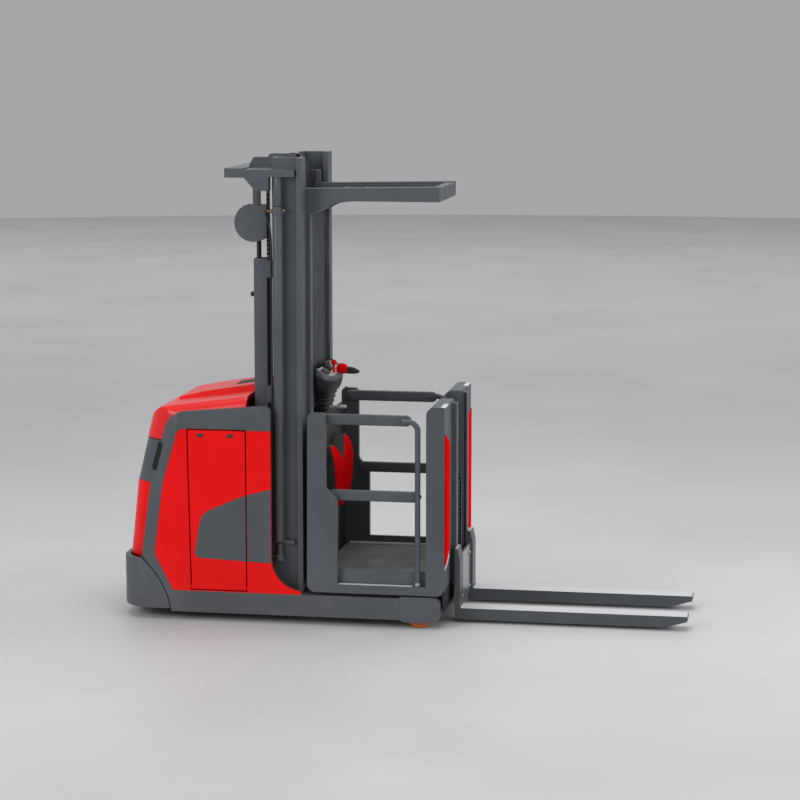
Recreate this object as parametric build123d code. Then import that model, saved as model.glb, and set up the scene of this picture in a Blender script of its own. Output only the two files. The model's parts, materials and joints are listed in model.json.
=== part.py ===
from build123d import *
import os

# Order picker: chassis with a wide two-stage mast, a lifting cabin and forks that lift on the cabin.
# Millimetres. Stations run forward from the rear bumper, heights run up from the floor.

# Whole machine
BODY_WIDTH = 1000
BUMPER_REAR = -16
MAST_FRONT = 1008
CABIN_GAP = 36
CABIN_LENGTH = 755
FORK_POST_DEPTH = 26
CARRIAGE_GAP = 3
SHANK_DEPTH = 29
FORK_LENGTH = 1240
RUNNING_GAP = 0.3
CLEAR = 6
SEAM = 4
DOOR_SEAM = 8
PANEL_SEAM = 1
HALF_WIDTH = BODY_WIDTH / 2
CABIN_REAR = MAST_FRONT + CABIN_GAP
CABIN_FRONT = CABIN_REAR + CABIN_LENGTH
FORK_FACE = CABIN_FRONT + FORK_POST_DEPTH + CARRIAGE_GAP + SHANK_DEPTH
ORIGIN_STATION = (BUMPER_REAR + FORK_FACE + FORK_LENGTH) / 2

# Outer mast
MAST_DEPTH = 170
MAST_TOP = 2532
MAST_INSET = 80
MAST_FLANGE_WIDTH = 110
MAST_FLANGE_LIP = 42
MAST_FRONT_FLANGE = 30
MAST_REAR_FLANGE = 24
MAST_WEB = 18
CROSSBAR_DEPTH = 38
CROSSBAR_HEIGHT = 90
MAST_REAR = MAST_FRONT - MAST_DEPTH
MAST_HALF_WIDTH = HALF_WIDTH - MAST_INSET
MAST_WEB_OUTSIDE = MAST_HALF_WIDTH - MAST_FLANGE_LIP
MAST_INSIDE = MAST_HALF_WIDTH - MAST_FLANGE_WIDTH

# Chassis
BEAM_BOTTOM = 45
BEAM_HEIGHT = 120
BEAM_WIDTH = 60
WEB_THICKNESS = 30
DRIVE_PLATE_DROP = 35
DRIVE_PLATE_THICKNESS = 20
TRAY_BOTTOM = 60
TRAY_THICKNESS = 25
MAST_FOOT_REAR = 28
MAST_FOOT_FRONT = 22
MAST_FOOT_HEIGHT = 100
BEAM_TOP = BEAM_BOTTOM + BEAM_HEIGHT
MAST_FOOT_START = MAST_REAR - MAST_FOOT_REAR
MAST_FOOT_END = MAST_FRONT + MAST_FOOT_FRONT
MAST_FOOT_TOP = TRAY_BOTTOM + MAST_FOOT_HEIGHT

# Load wheels at the front ends of the side beams
LOAD_WHEEL_SETBACK = 140
LOAD_WHEEL_RADIUS = 80
LOAD_WHEEL_WIDTH = 74
LOAD_AXLE_RADIUS = 12
HOUSING_FRONT = 117
HOUSING_REAR = 104
HOUSING_HEIGHT = 140
HOUSING_BOTTOM = 34
HOUSING_WIDTH = 112
HOUSING_CORNER = 45
LOAD_WHEEL_STATION = CABIN_FRONT - LOAD_WHEEL_SETBACK
HOUSING_END = LOAD_WHEEL_STATION + HOUSING_FRONT
BEAM_END = LOAD_WHEEL_STATION - HOUSING_REAR
HOUSING_TOP = HOUSING_BOTTOM + HOUSING_HEIGHT

# Drive unit under the hood
DRIVE_STATION = 225
DRIVE_WHEEL_RADIUS = 125
DRIVE_WHEEL_WIDTH = 90
DRIVE_AXLE_RADIUS = 22
TURNTABLE_RADIUS = 120
TURNTABLE_FLANGE = 30
GEARBOX_THICKNESS = 52
MOTOR_RADIUS = 92
MOTOR_HEIGHT = 230

# Rear body shell and bumper
BODY_CORNER = 200
BODY_SHELL = 18
SHELL_INSET = 36
SIDE_TOP = 1200
PANEL_LEDGE = 20
PANEL_LEAN = 0.11
BAND_LEAN = 0.237
HOOD_LEAN = 0.25
HOOD_FRONT_RISE = 43
HOOD_SLOPE = 0.144
SHOULDER_RADIUS = 160
HOOD_EDGE_ROUND = 70
HOOD_MAST_GAP = 134
BAND_BOTTOM = 752
BAND_HEIGHT = 236
BAND_RECESS = 3
VENT_RISE = 70
VENT_HEIGHT = 158
VENT_REAR_REACH = 23
VENT_FRONT_REACH = 18
VENT_ROUND = 12
BUMPER_TOP = 335
BUMPER_BOTTOM = 60
BUMPER_THICKNESS = 30
BUMPER_CORNER = 175
BUMPER_SEAM_TOP = 110
BUMPER_SEAM_RUN = 168
BUMPER_SEAM_BULGE = 34
SHELL_HALF_WIDTH = HALF_WIDTH - SHELL_INSET
PANEL_REAR = BUMPER_REAR + PANEL_LEDGE
BAND_REAR = PANEL_REAR + PANEL_LEAN * (BAND_BOTTOM - BUMPER_TOP)
HOOD_REAR = BAND_REAR + BAND_LEAN * BAND_HEIGHT
HOOD_FRONT_TOP = SIDE_TOP + HOOD_FRONT_RISE
HOOD_FRONT = MAST_REAR - HOOD_MAST_GAP
BAND_TOP = BAND_BOTTOM + BAND_HEIGHT
BUMPER_SEAM_BOTTOM = BUMPER_SEAM_TOP + BUMPER_SEAM_RUN
DRIVE_PLATE_BOTTOM = BUMPER_TOP - DRIVE_PLATE_DROP

# Hood hinge and raised hatch on the hood
HOOD_HINGE_REACH = 24
HOOD_HINGE_RISE = 18
HOOD_PIN_RADIUS = 8
HOOD_PIN_LENGTH = 50
HOOD_EAR_RADIUS = 15
HOOD_EAR_SIDE = 100
HOOD_EAR_THICKNESS = 18
HOOD_EAR_ROOT = 60
HATCH_LENGTH = 444
HATCH_STEP = 14
HATCH_HALF_WIDTH = 190
HATCH_BEND_RUN = 140
HATCH_BEND_RISE = 34
HATCH_BEND_RADIUS = 300
HATCH_FRONT_RISE = 34
HOOD_HINGE_STATION = HOOD_FRONT + HOOD_HINGE_REACH
HOOD_HINGE_HEIGHT = HOOD_FRONT_TOP + HOOD_HINGE_RISE
HATCH_START = HOOD_FRONT - HATCH_LENGTH

# Side walls: grey frame, red panels and battery doors
PANEL_THICKNESS = 22
LINER_THICKNESS = 8
SIDE_OVERLAP = 7
ARCH_LEAN = 0.13
ARCH_KNEE_RISE = 420
ARCH_KNEE_RADIUS = 600
ARCH_UPPER_LEAN = 0.29
ARCH_BAND = 138
ARCH_LEG = 80
ARCH_DROP = 48
ARCH_KNEE_STATION = BUMPER_SEAM_TOP + ARCH_LEAN * ARCH_KNEE_RISE
ARCH_KNEE_HEIGHT = BUMPER_TOP + ARCH_KNEE_RISE
ARCH_CORNER = 130
ARCH_FRONT_CORNER = 35
FIELD_LOW_OFFSET = 15
FIELD_LOW_RISE = 31
FIELD_LOW_CORNER = 60
FIELD_TOP_CORNER = 40
FOOT_START_RISE = 180
FOOT_BEND_RUN = 25
FOOT_BEND_RISE = 40
FOOT_BEND_RADIUS = 180
FOOT_RUN = 165
FOOT_END_RISE = 15
DOOR_TOP_DROP = 142
DOOR_SILL_GAP = 12
DOOR_REAR_BOTTOM = 400
DOOR_LEAN = 15
DOOR_MAST_GAP = 135
DOOR_CORNER = 10
DOOR_PIN_RADIUS = 6
DOOR_PIN_LENGTH = 14
DOOR_PIN_DEPTH = 8
DOOR_PIN_HEIGHT = 11
BATTERY_HEIGHT = 765
BATTERY_INSET = 70
BATTERY_MARGIN = 10
INLAY_DEPTH = 4
INLAY_TOP_RISE = 398
INLAY_BOTTOM_DROP = 12
INLAY_BEND_SETBACK = 155
INLAY_BEND_DROP = 41
INLAY_BEND_RADIUS = 500
INLAY_NOSE_REACH = 55
INLAY_NOSE_DROP = 146
INLAY_NOSE_RADIUS = 95
INLAY_TAIL_REACH = 13
INLAY_TAIL_RISE = 19
INLAY_TAIL_RADIUS = 30
SIDE_FRONT = MAST_REAR + SIDE_OVERLAP
FIELD_LOW_STATION = BUMPER_SEAM_BOTTOM + FIELD_LOW_OFFSET
FOOT_START_HEIGHT = BEAM_TOP + FOOT_START_RISE
FOOT_BEND_STATION = SIDE_FRONT + FOOT_BEND_RUN
FOOT_BEND_HEIGHT = BEAM_TOP + FOOT_BEND_RISE
FOOT_END = SIDE_FRONT + FOOT_RUN
FOOT_END_HEIGHT = BEAM_TOP + FOOT_END_RISE
DOOR_TOP = SIDE_TOP - DOOR_TOP_DROP
DOOR_BOTTOM = BEAM_TOP + DOOR_SILL_GAP
DOOR_FRONT = MAST_REAR - DOOR_MAST_GAP
DOOR_REAR_TOP = DOOR_REAR_BOTTOM - DOOR_LEAN
BATTERY_HALF_WIDTH = HALF_WIDTH - BATTERY_INSET
DRIVE_PLATE_FRONT = DOOR_REAR_BOTTOM - SEAM - SEAM
INLAY_TOP = FOOT_START_HEIGHT + INLAY_TOP_RISE
INLAY_BOTTOM = FOOT_START_HEIGHT - INLAY_BOTTOM_DROP

# Inner mast
INNER_GAP = 7
INNER_FLANGE = 25
INNER_STEP = 42
INNER_FLANGE_LIP = 50
INNER_WEB = 16
INNER_FOOT_GAP = 10
HEAD_DROP = 101
HEAD_THICKNESS = 38
HEAD_REACH = 248
HEAD_BAR_DEPTH = 102
HEAD_BAR_OVERHANG = 6
GUSSET_SIZE = 75
INNER_INSIDE = MAST_INSIDE - INNER_STEP
INNER_WEB_INSIDE = INNER_INSIDE + INNER_FLANGE_LIP
INNER_BOTTOM = MAST_FOOT_TOP + INNER_FOOT_GAP
HEAD_BOTTOM = MAST_TOP - HEAD_DROP
HEAD_REAR = MAST_REAR - HEAD_REACH
HEAD_STEP = HEAD_REAR + HEAD_BAR_DEPTH

# Lift cylinders, one outboard of each mast channel
CYLINDER_SETBACK = 132
CYLINDER_RADIUS = 29
ROD_RADIUS = 20
ROD_HEAD_RADIUS = 25
CYLINDER_BOTTOM = 440
ROD_SHOWN = 161
CYLINDER_SIDE_GAP = 2
FOOT_CLAMP_LENGTH = 53
FOOT_CLAMP_HEIGHT = 18
TOP_CLAMP_HEIGHT = 37
GLAND_HEIGHT = 8
ROD_FOOT_GAP = 30
CYLINDER_STATION = MAST_FRONT - CYLINDER_SETBACK
CYLINDER_TOP = HEAD_BOTTOM - ROD_SHOWN
ROD_BOTTOM = CYLINDER_BOTTOM + ROD_FOOT_GAP

# Lift chains over the sheaves on the mast head
SHEAVE_SETBACK = 173
SHEAVE_RISE = 34
SHEAVE_RADIUS = 50
SHEAVE_INSET = 68
SHEAVE_WIDTH = 30
SHEAVE_PIN_RADIUS = 10
SHEAVE_CHEEK_THICKNESS = 10
SHEAVE_CHEEK_FRONT = 20
SHEAVE_CHEEK_REACH = 133
SHEAVE_CHEEK_FOOT = 185
SHEAVE_CHEEK_RISE = 60
SHEAVE_CHEEK_CORNER = 12
CHAIN_THICKNESS = 16
CHAIN_WIDTH = 24
CHAIN_FRONT_END = 700
CHAIN_TAIL = 230
CHAIN_ANCHOR_DROP = 602
SHEAVE_STATION = MAST_FRONT - SHEAVE_SETBACK
SHEAVE_HEIGHT = HEAD_BOTTOM + SHEAVE_RISE
SHEAVE_SIDE = INNER_INSIDE - SHEAVE_INSET
CHAIN_ANCHOR = MAST_TOP - CHAIN_ANCHOR_DROP
MAST_TRAVEL = CHAIN_ANCHOR - CHAIN_TAIL

# Hose duct and hose pulley behind the mast
DUCT_DEPTH = 74
DUCT_INSET = 73
DUCT_WIDTH = 80
DUCT_DROP = 193
DUCT_WALL = 6
HOSE_RADIUS = 10
HOSE_PITCH = 24
PULLEY_DROP = 253
PULLEY_RADIUS = 94
GUARD_RADIUS = 104
CHEEK_THICKNESS = 6
HANGER_WIDTH = 24
DUCT_REAR = MAST_REAR - CROSSBAR_DEPTH - DUCT_DEPTH
DUCT_SIDE = MAST_WEB_OUTSIDE - DUCT_INSET
PULLEY_HEIGHT = HEAD_BOTTOM - PULLEY_DROP
GUARD_TOP = PULLEY_HEIGHT + PULLEY_RADIUS
DUCT_TOP = PULLEY_HEIGHT - DUCT_DROP

# Cabin platform and walls
PLATFORM_GAP = 10
SILL_HEIGHT = 48
SILL_CORNER = 45
FLOOR_RISE = 18
TOE_INSET = 36
TOE_THICKNESS = 15
TOE_HEIGHT = 80
MAT_THICKNESS = 15
MAT_MARGIN = 20
FRONT_WALL_DEPTH = 100
FRONT_WALL_TOP = 1215
FRONT_WALL_CORNER = 45
FRONT_WALL_EDGE = 8
RECESS_HALF_WIDTH = 150
RECESS_SKIN = 17
REAR_WALL_DEPTH = 24
REAR_WALL_TOP = 1087
INSERT_INSET = 12
INSERT_WIDTH = 140
INSERT_RISE = 102
INSERT_DROP = 147
INSERT_SLANT = 60
INSERT_DEPTH = 7
KNEE_PAD_DEPTH = 100
KNEE_PAD_HALF_WIDTH = 330
KNEE_PAD_RISE = 300
KNEE_PAD_DROP = 127
KNEE_PAD_SPLIT = 100
KNEE_PAD_SPLIT_WIDTH = 50
KNEE_PAD_SPLIT_DROP = 105
KNEE_PAD_OUTER_DROP = 60
KNEE_PAD_OUTER_RISE = 120
KNEE_PAD_PEAK = 130
KNEE_PAD_CORNER = 35
KNEE_PAD_FOOT = 120
KNEE_PAD_BROW = 60
KNEE_PAD_FOOT_ROUND = 20
KNEE_PAD_LOW_ROUND = 60
KNEE_PAD_HIGH_ROUND = 30
PLATFORM_BOTTOM = HOUSING_TOP + PLATFORM_GAP
SILL_TOP = PLATFORM_BOTTOM + SILL_HEIGHT
FLOOR_HEIGHT = SILL_TOP + FLOOR_RISE
FLOOR_HALF_WIDTH = HALF_WIDTH - TOE_INSET - TOE_THICKNESS
INSERT_OUTSIDE = HALF_WIDTH - INSERT_INSET
INSERT_INSIDE = INSERT_OUTSIDE - INSERT_WIDTH
INSERT_BOTTOM = FLOOR_HEIGHT + INSERT_RISE
INSERT_TOP = FRONT_WALL_TOP - INSERT_DROP
KNEE_PAD_BOTTOM = FLOOR_HEIGHT + KNEE_PAD_RISE
KNEE_PAD_TOP = REAR_WALL_TOP - KNEE_PAD_DROP

# Side gates: parallelogram frames that fold up towards the mast
GATE_LINK = 469
GATE_UPPER_REACH = 68
GATE_LOWER_REACH = 138
GATE_UPPER_RISE = 44
GATE_LOWER_RISE = 466
GATE_BAR_HEIGHT = 60
GATE_BAR_THICKNESS = 24
GATE_BAR_ROUND = 28
GATE_BAR_INSET = 53
GATE_TUBE_INSET = 15
GATE_TUBE_RADIUS = 15
GATE_TUBE_BEND = 50
GATE_PIN_RADIUS = 8
GATE_UPPER_PIVOT = CABIN_REAR + GATE_UPPER_REACH
GATE_UPPER_HEIGHT = REAR_WALL_TOP + GATE_UPPER_RISE
GATE_LOWER_PIVOT = CABIN_REAR + GATE_LOWER_REACH
GATE_LOWER_HEIGHT = FLOOR_HEIGHT + GATE_LOWER_RISE
GATE_BAR_SIDE = HALF_WIDTH - GATE_BAR_INSET
GATE_TUBE_SIDE = HALF_WIDTH - GATE_TUBE_INSET

# Cabin posts that carry the gates
POST_THICKNESS = 30
POST_TOP_MARGIN = 38
POST_UPPER_MARGIN = 38
POST_LOWER_MARGIN = 31
POST_STEP_BELOW = 14
POST_STEP_ABOVE = 42
POST_STEP_ROUND = 30
POST_TOP_ROUND = 25
POST_TOP = GATE_UPPER_HEIGHT + POST_TOP_MARGIN
POST_UPPER_FRONT = GATE_UPPER_PIVOT + POST_UPPER_MARGIN
POST_LOWER_FRONT = GATE_LOWER_PIVOT + POST_LOWER_MARGIN
POST_STEP_LOW = GATE_LOWER_HEIGHT - POST_STEP_BELOW
POST_STEP_HIGH = GATE_LOWER_HEIGHT + POST_STEP_ABOVE

# Cabin carriage, mast screen and overhead guard
UPRIGHT_LAP = 28
UPRIGHT_DEPTH = 50
UPRIGHT_WIDTH = 64
UPRIGHT_SIDE_LAP = 32
UPRIGHT_FOOT_HEIGHT = 230
BRACKET_THICKNESS = 18
BRACKET_HEIGHT = 110
CARRIAGE_BAR_HEIGHT = 70
GUARD_DROP = 236
GUARD_ROOT_DROP = 75
GUARD_ROOT_RISE = 66
GUARD_TIP_HEIGHT = 80
GUARD_SETBACK = 62
GUARD_GUSSET_RUN = 150
GUARD_GUSSET_ROUND = 450
GUARD_TIP_ROUND = 6
GUARD_ARM_WIDTH = 60
GUARD_TIP_BAR = 48
GUARD_SLAT_WIDTH = 26
GUARD_SLAT_HEIGHT = 40
GUARD_SLATS = 5
SCREEN_THICKNESS = 6
SCREEN_GAP = 53
SCREEN_SLOT_RISE = 330
SCREEN_SLOT_DROP = 93
SCREEN_SLOT_WIDTH = 26
UPRIGHT_REAR = MAST_FRONT - UPRIGHT_LAP
UPRIGHT_FRONT = UPRIGHT_REAR + UPRIGHT_DEPTH
UPRIGHT_OUTSIDE = INNER_INSIDE + UPRIGHT_SIDE_LAP
UPRIGHT_INSIDE = UPRIGHT_OUTSIDE - UPRIGHT_WIDTH
UPRIGHT_BOTTOM = PLATFORM_BOTTOM + CLEAR
UPRIGHT_FOOT_TOP = UPRIGHT_BOTTOM + UPRIGHT_FOOT_HEIGHT
GUARD_HEIGHT = MAST_TOP - GUARD_DROP
GUARD_ROOT_BOTTOM = GUARD_HEIGHT - GUARD_ROOT_DROP
GUARD_ROOT_TOP = GUARD_HEIGHT + GUARD_ROOT_RISE
GUARD_TIP = CABIN_FRONT - GUARD_SETBACK
GUARD_TIP_BOTTOM = GUARD_HEIGHT
GUARD_TIP_TOP = GUARD_HEIGHT + GUARD_TIP_HEIGHT
GUARD_GUSSET_END = UPRIGHT_FRONT + GUARD_GUSSET_RUN
SCREEN_BOTTOM = REAR_WALL_TOP + SCREEN_GAP
SCREEN_SLOT_BOTTOM = SCREEN_BOTTOM + SCREEN_SLOT_RISE
SCREEN_SLOT_TOP = GUARD_ROOT_BOTTOM - SCREEN_SLOT_DROP

# Console
CONSOLE_HALF_WIDTH = 225
CONSOLE_DEPTH = 88
CONSOLE_HEIGHT = 126
CONSOLE_WALL = 16
CONSOLE_CORNER = 70
NECK_HALF_WIDTH = 110
NECK_FOOT_HALF_WIDTH = 60
NECK_HEIGHT = 175
GRIP_RADIUS = 16
GRIP_LENGTH = 118
GRIP_SIDE = 60
GRIP_DROP = 64
KNOB_RADIUS = 15
KNOB_STALK_RADIUS = 6
KNOB_REACH = 54
KNOB_DROP = 9
KNOB_SOCKET_DROP = 60
CONSOLE_BOTTOM = REAR_WALL_TOP + NECK_HEIGHT
CONSOLE_TOP = CONSOLE_BOTTOM + CONSOLE_HEIGHT
GRIP_HEIGHT = CONSOLE_TOP - GRIP_DROP

# Fork mast on the cabin front, with its cylinder and chain
FORK_POST_OUTSIDE = 230
FORK_POST_WIDTH = 60
FORK_POST_DROP = 13
FORK_GROOVE_DEPTH = 20
FORK_GROOVE_WIDTH = 10
FORK_GROOVE_OFFSET = 8
FORK_CYLINDER_SETBACK = 25
FORK_CYLINDER_RADIUS = 24
FORK_CYLINDER_TOP = 690
FORK_ROD_RADIUS = 14
FORK_SHEAVE_RISE = 55
FORK_SHEAVE_RADIUS = 35
FORK_CHAIN_THICKNESS = 10
FORK_CHAIN_WIDTH = 18
FORK_CHAIN_END = 330
FORK_CHAIN_TAIL = 18
FORK_POST_INSIDE = FORK_POST_OUTSIDE - FORK_POST_WIDTH
FORK_POST_BOTTOM = PLATFORM_BOTTOM + CLEAR
FORK_POST_TOP = FRONT_WALL_TOP - FORK_POST_DROP
FORK_CYLINDER_STATION = CABIN_FRONT - FORK_CYLINDER_SETBACK
FORK_SHEAVE_HEIGHT = FORK_CYLINDER_TOP + FORK_SHEAVE_RISE
FORK_CHAIN_BOTTOM = SILL_TOP + FORK_CHAIN_TAIL

# Fork carriage
FORK_OUTSIDE = 308
FORK_WIDTH = 120
FORK_BOTTOM = 17
FORK_THICKNESS = 63
FORK_TIP_THICKNESS = 27
FORK_TAPER = 118
FORK_TAPER_ROUND = 60
FORK_TIP_ROUND = 8
FORK_HEEL_ROUND = 12
SHANK_TOP_RISE = 65
CARRIAGE_PLATE_DEPTH = 16
CARRIAGE_PLATE_BOTTOM = 60
CARRIAGE_PLATE_HEIGHT = 285
SHOE_RISE = 30
SHOE_HEIGHT = 200
FORK_TOP = FORK_BOTTOM + FORK_THICKNESS
CARRIAGE_PLATE_TOP = CARRIAGE_PLATE_BOTTOM + CARRIAGE_PLATE_HEIGHT
SHANK_TOP = CARRIAGE_PLATE_TOP + SHANK_TOP_RISE
SHOE_BOTTOM = CARRIAGE_PLATE_BOTTOM + SHOE_RISE


def at(station):
    """Model x of a station."""
    return station - ORIGIN_STATION


def outline(*rows):
    """Closed face in the x, z or x, y plane from rows of (station, across, corner radius)."""
    points = [(at(station), across) for station, across, radius in rows]
    return make_face(FilletPolyline(*points, radius=[row[2] for row in rows], close=True).edges())


def side_slab(face, low, high):
    """A side view's face, thick from y = low to y = high."""
    return extrude(Plane.XZ.offset(-low) * face, amount=low - high)


def plan_slab(face, low, high):
    """A plan's face, thick from height low to height high."""
    return extrude(Plane.XY.offset(low) * face, amount=high - low)


def block(rear, front, low_y, high_y, bottom, top):
    """A box between two stations, two sides and two heights."""
    size = (front - rear, high_y - low_y, top - bottom)
    return Pos(at(rear), low_y, bottom) * Box(*size, align=(Align.MIN, Align.MIN, Align.MIN))


def front_slab(rows, rear, front):
    """A front view's outline from rows of (across, height, corner radius), thick between two stations."""
    points = [(across, height) for across, height, radius in rows]
    face = make_face(FilletPolyline(*points, radius=[row[2] for row in rows], close=True).edges())
    return extrude(Plane.YZ.offset(at(rear)) * face, amount=front - rear)


def upright_rod(station, side, radius, bottom, top):
    """A round rod standing between two heights."""
    rod = Cylinder(radius, top - bottom, align=(Align.CENTER, Align.CENTER, Align.MIN))
    return Pos(at(station), side, bottom) * rod


def cross_rod(station, height, radius, low_y, high_y):
    """A round rod lying across the machine."""
    rod = Cylinder(radius, high_y - low_y, align=(Align.CENTER, Align.CENTER, Align.MIN))
    return Pos(at(station), high_y, height) * Rot(90, 0, 0) * rod


def long_rod(side, height, radius, rear, front):
    """A round rod lying along the machine."""
    rod = Cylinder(radius, front - rear, align=(Align.CENTER, Align.CENTER, Align.MIN))
    return Pos(at(rear), side, height) * Rot(0, 90, 0) * rod


def pair(shape):
    """The shape and its mirror image on the other side."""
    return [shape, mirror(shape, about=Plane.XZ)]


def seam_region(gap):
    """Side view of all that lies behind the bumper's curved seam, moved forward by a gap."""
    low = (at(BUMPER_SEAM_BOTTOM + gap), 0)
    high = (at(BUMPER_SEAM_TOP + gap), BUMPER_TOP + gap)
    middle = ((low[0] + high[0]) / 2 + BUMPER_SEAM_BULGE, (BUMPER_BOTTOM + BUMPER_TOP) / 2 + gap)
    far_low = (at(BUMPER_REAR - BODY_WIDTH), 0)
    far_high = (far_low[0], high[1])
    curve = ThreePointArc(low, middle, high)
    straight = Polyline(high, far_high, far_low, low)
    return side_slab(make_face(curve.edges() + straight.edges()), -BODY_WIDTH, BODY_WIDTH)


def plan_outline(rear, front, half_width, corner):
    """Plan of the rear body: square in front, round corners behind."""
    return outline(
        (rear, -half_width, corner),
        (front, -half_width, 0),
        (front, half_width, 0),
        (rear, half_width, corner),
    )


def leaning_form(rear, height, lean, half_width, corner):
    """The rear body's upright form, its rear face leaning forward through a station at a height."""
    plan = plan_outline(rear - lean * height, FORK_FACE, half_width, corner)
    return extrude(Plane.XY * plan, amount=MAST_TOP, dir=(lean, 0, 1))


def shell_slice(rear, lean, inset, bottom, top):
    """One storey of the rear shell, open in front, leaning forward from a station at its foot."""
    outer_width = SHELL_HALF_WIDTH - inset
    inner_width = outer_width - BODY_SHELL
    outer = leaning_form(rear + inset, bottom, lean, outer_width, BODY_CORNER - inset)
    corner = BODY_CORNER - inset - BODY_SHELL
    inner = leaning_form(rear + inset + BODY_SHELL, bottom, lean, inner_width, corner)
    return (outer - inner) & block(BUMPER_REAR, DRIVE_PLATE_FRONT, -BODY_WIDTH, BODY_WIDTH, bottom, top)


def hood_form(inset):
    """The hood's outer form, or the same form further in by an inset."""
    half_width = SHELL_HALF_WIDTH - inset
    front = HOOD_FRONT + inset
    form = leaning_form(HOOD_REAR + inset, BAND_TOP, HOOD_LEAN, half_width, BODY_CORNER - inset)
    front_top = HOOD_FRONT_TOP - inset + HOOD_SLOPE * inset
    rear_foot = HOOD_REAR + inset - HOOD_LEAN * BAND_TOP
    shoulder_height = (front_top + HOOD_SLOPE * (rear_foot - front)) / (1 - HOOD_SLOPE * HOOD_LEAN)
    side = outline(
        (rear_foot, 0, 0),
        (front, 0, 0),
        (front, front_top, 0),
        (rear_foot + HOOD_LEAN * shoulder_height, shoulder_height, SHOULDER_RADIUS - inset),
    )
    edge = HOOD_EDGE_ROUND - inset
    rows = [
        (-half_width, 0, 0),
        (half_width, 0, 0),
        (half_width, front_top, edge),
        (-half_width, front_top, edge),
    ]
    section = front_slab(rows, front, front + BODY_WIDTH).faces().sort_by(Axis.X)[0]
    across = extrude(section, amount=BODY_WIDTH, dir=(-1, 0, -HOOD_SLOPE))
    return form & side_slab(side, -BODY_WIDTH, BODY_WIDTH) & across


# Chassis

def chassis_beams():
    outer = block(BUMPER_SEAM_TOP, BEAM_END, -HALF_WIDTH, -HALF_WIDTH + BEAM_WIDTH, BEAM_BOTTOM, BEAM_TOP)
    outer -= seam_region(SEAM)
    web_outside = HALF_WIDTH - BUMPER_THICKNESS
    web_inside = web_outside - WEB_THICKNESS
    web = block(BUMPER_CORNER, DRIVE_PLATE_FRONT, -web_outside, -web_inside, TRAY_BOTTOM, DRIVE_PLATE_BOTTOM)
    return pair(outer + web)


def chassis_tray():
    half_width = HALF_WIDTH - BEAM_WIDTH
    tray_top = TRAY_BOTTOM + TRAY_THICKNESS
    tray = block(DRIVE_PLATE_FRONT, MAST_FOOT_END, -half_width, half_width, TRAY_BOTTOM, tray_top)
    foot = block(MAST_FOOT_START, MAST_FOOT_END, -half_width, half_width, TRAY_BOTTOM, MAST_FOOT_TOP)
    return [tray + foot]


def drive_plate():
    rear = PANEL_REAR + BODY_SHELL + CLEAR + BUMPER_THICKNESS
    half_width = HALF_WIDTH - BUMPER_THICKNESS
    plan = plan_outline(rear, DRIVE_PLATE_FRONT, half_width, BODY_CORNER - BUMPER_THICKNESS)
    top = DRIVE_PLATE_BOTTOM + DRIVE_PLATE_THICKNESS
    plate = plan_slab(plan, DRIVE_PLATE_BOTTOM, top)
    return [plate - upright_rod(DRIVE_STATION, 0, TURNTABLE_RADIUS, DRIVE_PLATE_BOTTOM, top)]


def load_wheel_housings():
    side = outline(
        (BEAM_END, BEAM_BOTTOM, 0),
        (LOAD_WHEEL_STATION - LOAD_WHEEL_RADIUS, HOUSING_BOTTOM, HOUSING_CORNER),
        (HOUSING_END, HOUSING_BOTTOM, HOUSING_CORNER),
        (HOUSING_END, HOUSING_TOP, HOUSING_CORNER),
        (BEAM_END, HOUSING_TOP, 0),
    )
    body = side_slab(side, -HALF_WIDTH, -HALF_WIDTH + HOUSING_WIDTH)
    wheel_side = HALF_WIDTH - HOUSING_WIDTH / 2
    half_slot = LOAD_WHEEL_WIDTH / 2 + CLEAR
    reach = LOAD_WHEEL_RADIUS + CLEAR
    slot = block(
        LOAD_WHEEL_STATION - reach,
        LOAD_WHEEL_STATION + reach,
        -wheel_side - half_slot,
        -wheel_side + half_slot,
        0,
        LOAD_WHEEL_RADIUS + reach,
    )
    axle = cross_rod(
        LOAD_WHEEL_STATION, LOAD_WHEEL_RADIUS, LOAD_AXLE_RADIUS, -HALF_WIDTH, -HALF_WIDTH + HOUSING_WIDTH
    )
    return pair(body - slot + axle)


def rear_bumper():
    outside = plan_outline(BUMPER_REAR, BUMPER_SEAM_BOTTOM, HALF_WIDTH, BUMPER_CORNER)
    inside = plan_outline(
        BUMPER_REAR + BUMPER_THICKNESS,
        BUMPER_SEAM_BOTTOM + BUMPER_THICKNESS,
        HALF_WIDTH - BUMPER_THICKNESS,
        BUMPER_CORNER - BUMPER_THICKNESS,
    )
    ring = plan_slab(outside, BUMPER_BOTTOM, BUMPER_TOP) - plan_slab(inside, BUMPER_BOTTOM, BUMPER_TOP)
    return [ring & seam_region(0)]


def side_opening():
    """Side view of the hole in the grey frame that the battery door closes, grown by a seam."""
    return side_slab(door_outline(DOOR_SEAM), -BODY_WIDTH, BODY_WIDTH)


def door_outline(grow):
    return outline(
        (DOOR_REAR_TOP - grow, DOOR_TOP + grow, DOOR_CORNER),
        (DOOR_FRONT + grow, DOOR_TOP + grow, DOOR_CORNER),
        (DOOR_FRONT + grow, DOOR_BOTTOM - grow, 0),
        (DOOR_REAR_BOTTOM - grow, DOOR_BOTTOM - grow, 0),
    )


def foot_rows():
    """Front edge of the side wall, which sweeps forward along the beam to the mast's foot."""
    return [
        (SIDE_FRONT, FOOT_START_HEIGHT, 0),
        (FOOT_BEND_STATION, FOOT_BEND_HEIGHT, FOOT_BEND_RADIUS),
        (FOOT_END, FOOT_END_HEIGHT, 0),
        (FOOT_END, BEAM_TOP, 0),
    ]


def arch_edge(height):
    """Station of the arch leg's rear edge at a height above its knee."""
    return ARCH_KNEE_STATION + ARCH_UPPER_LEAN * (height - ARCH_KNEE_HEIGHT)


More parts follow.
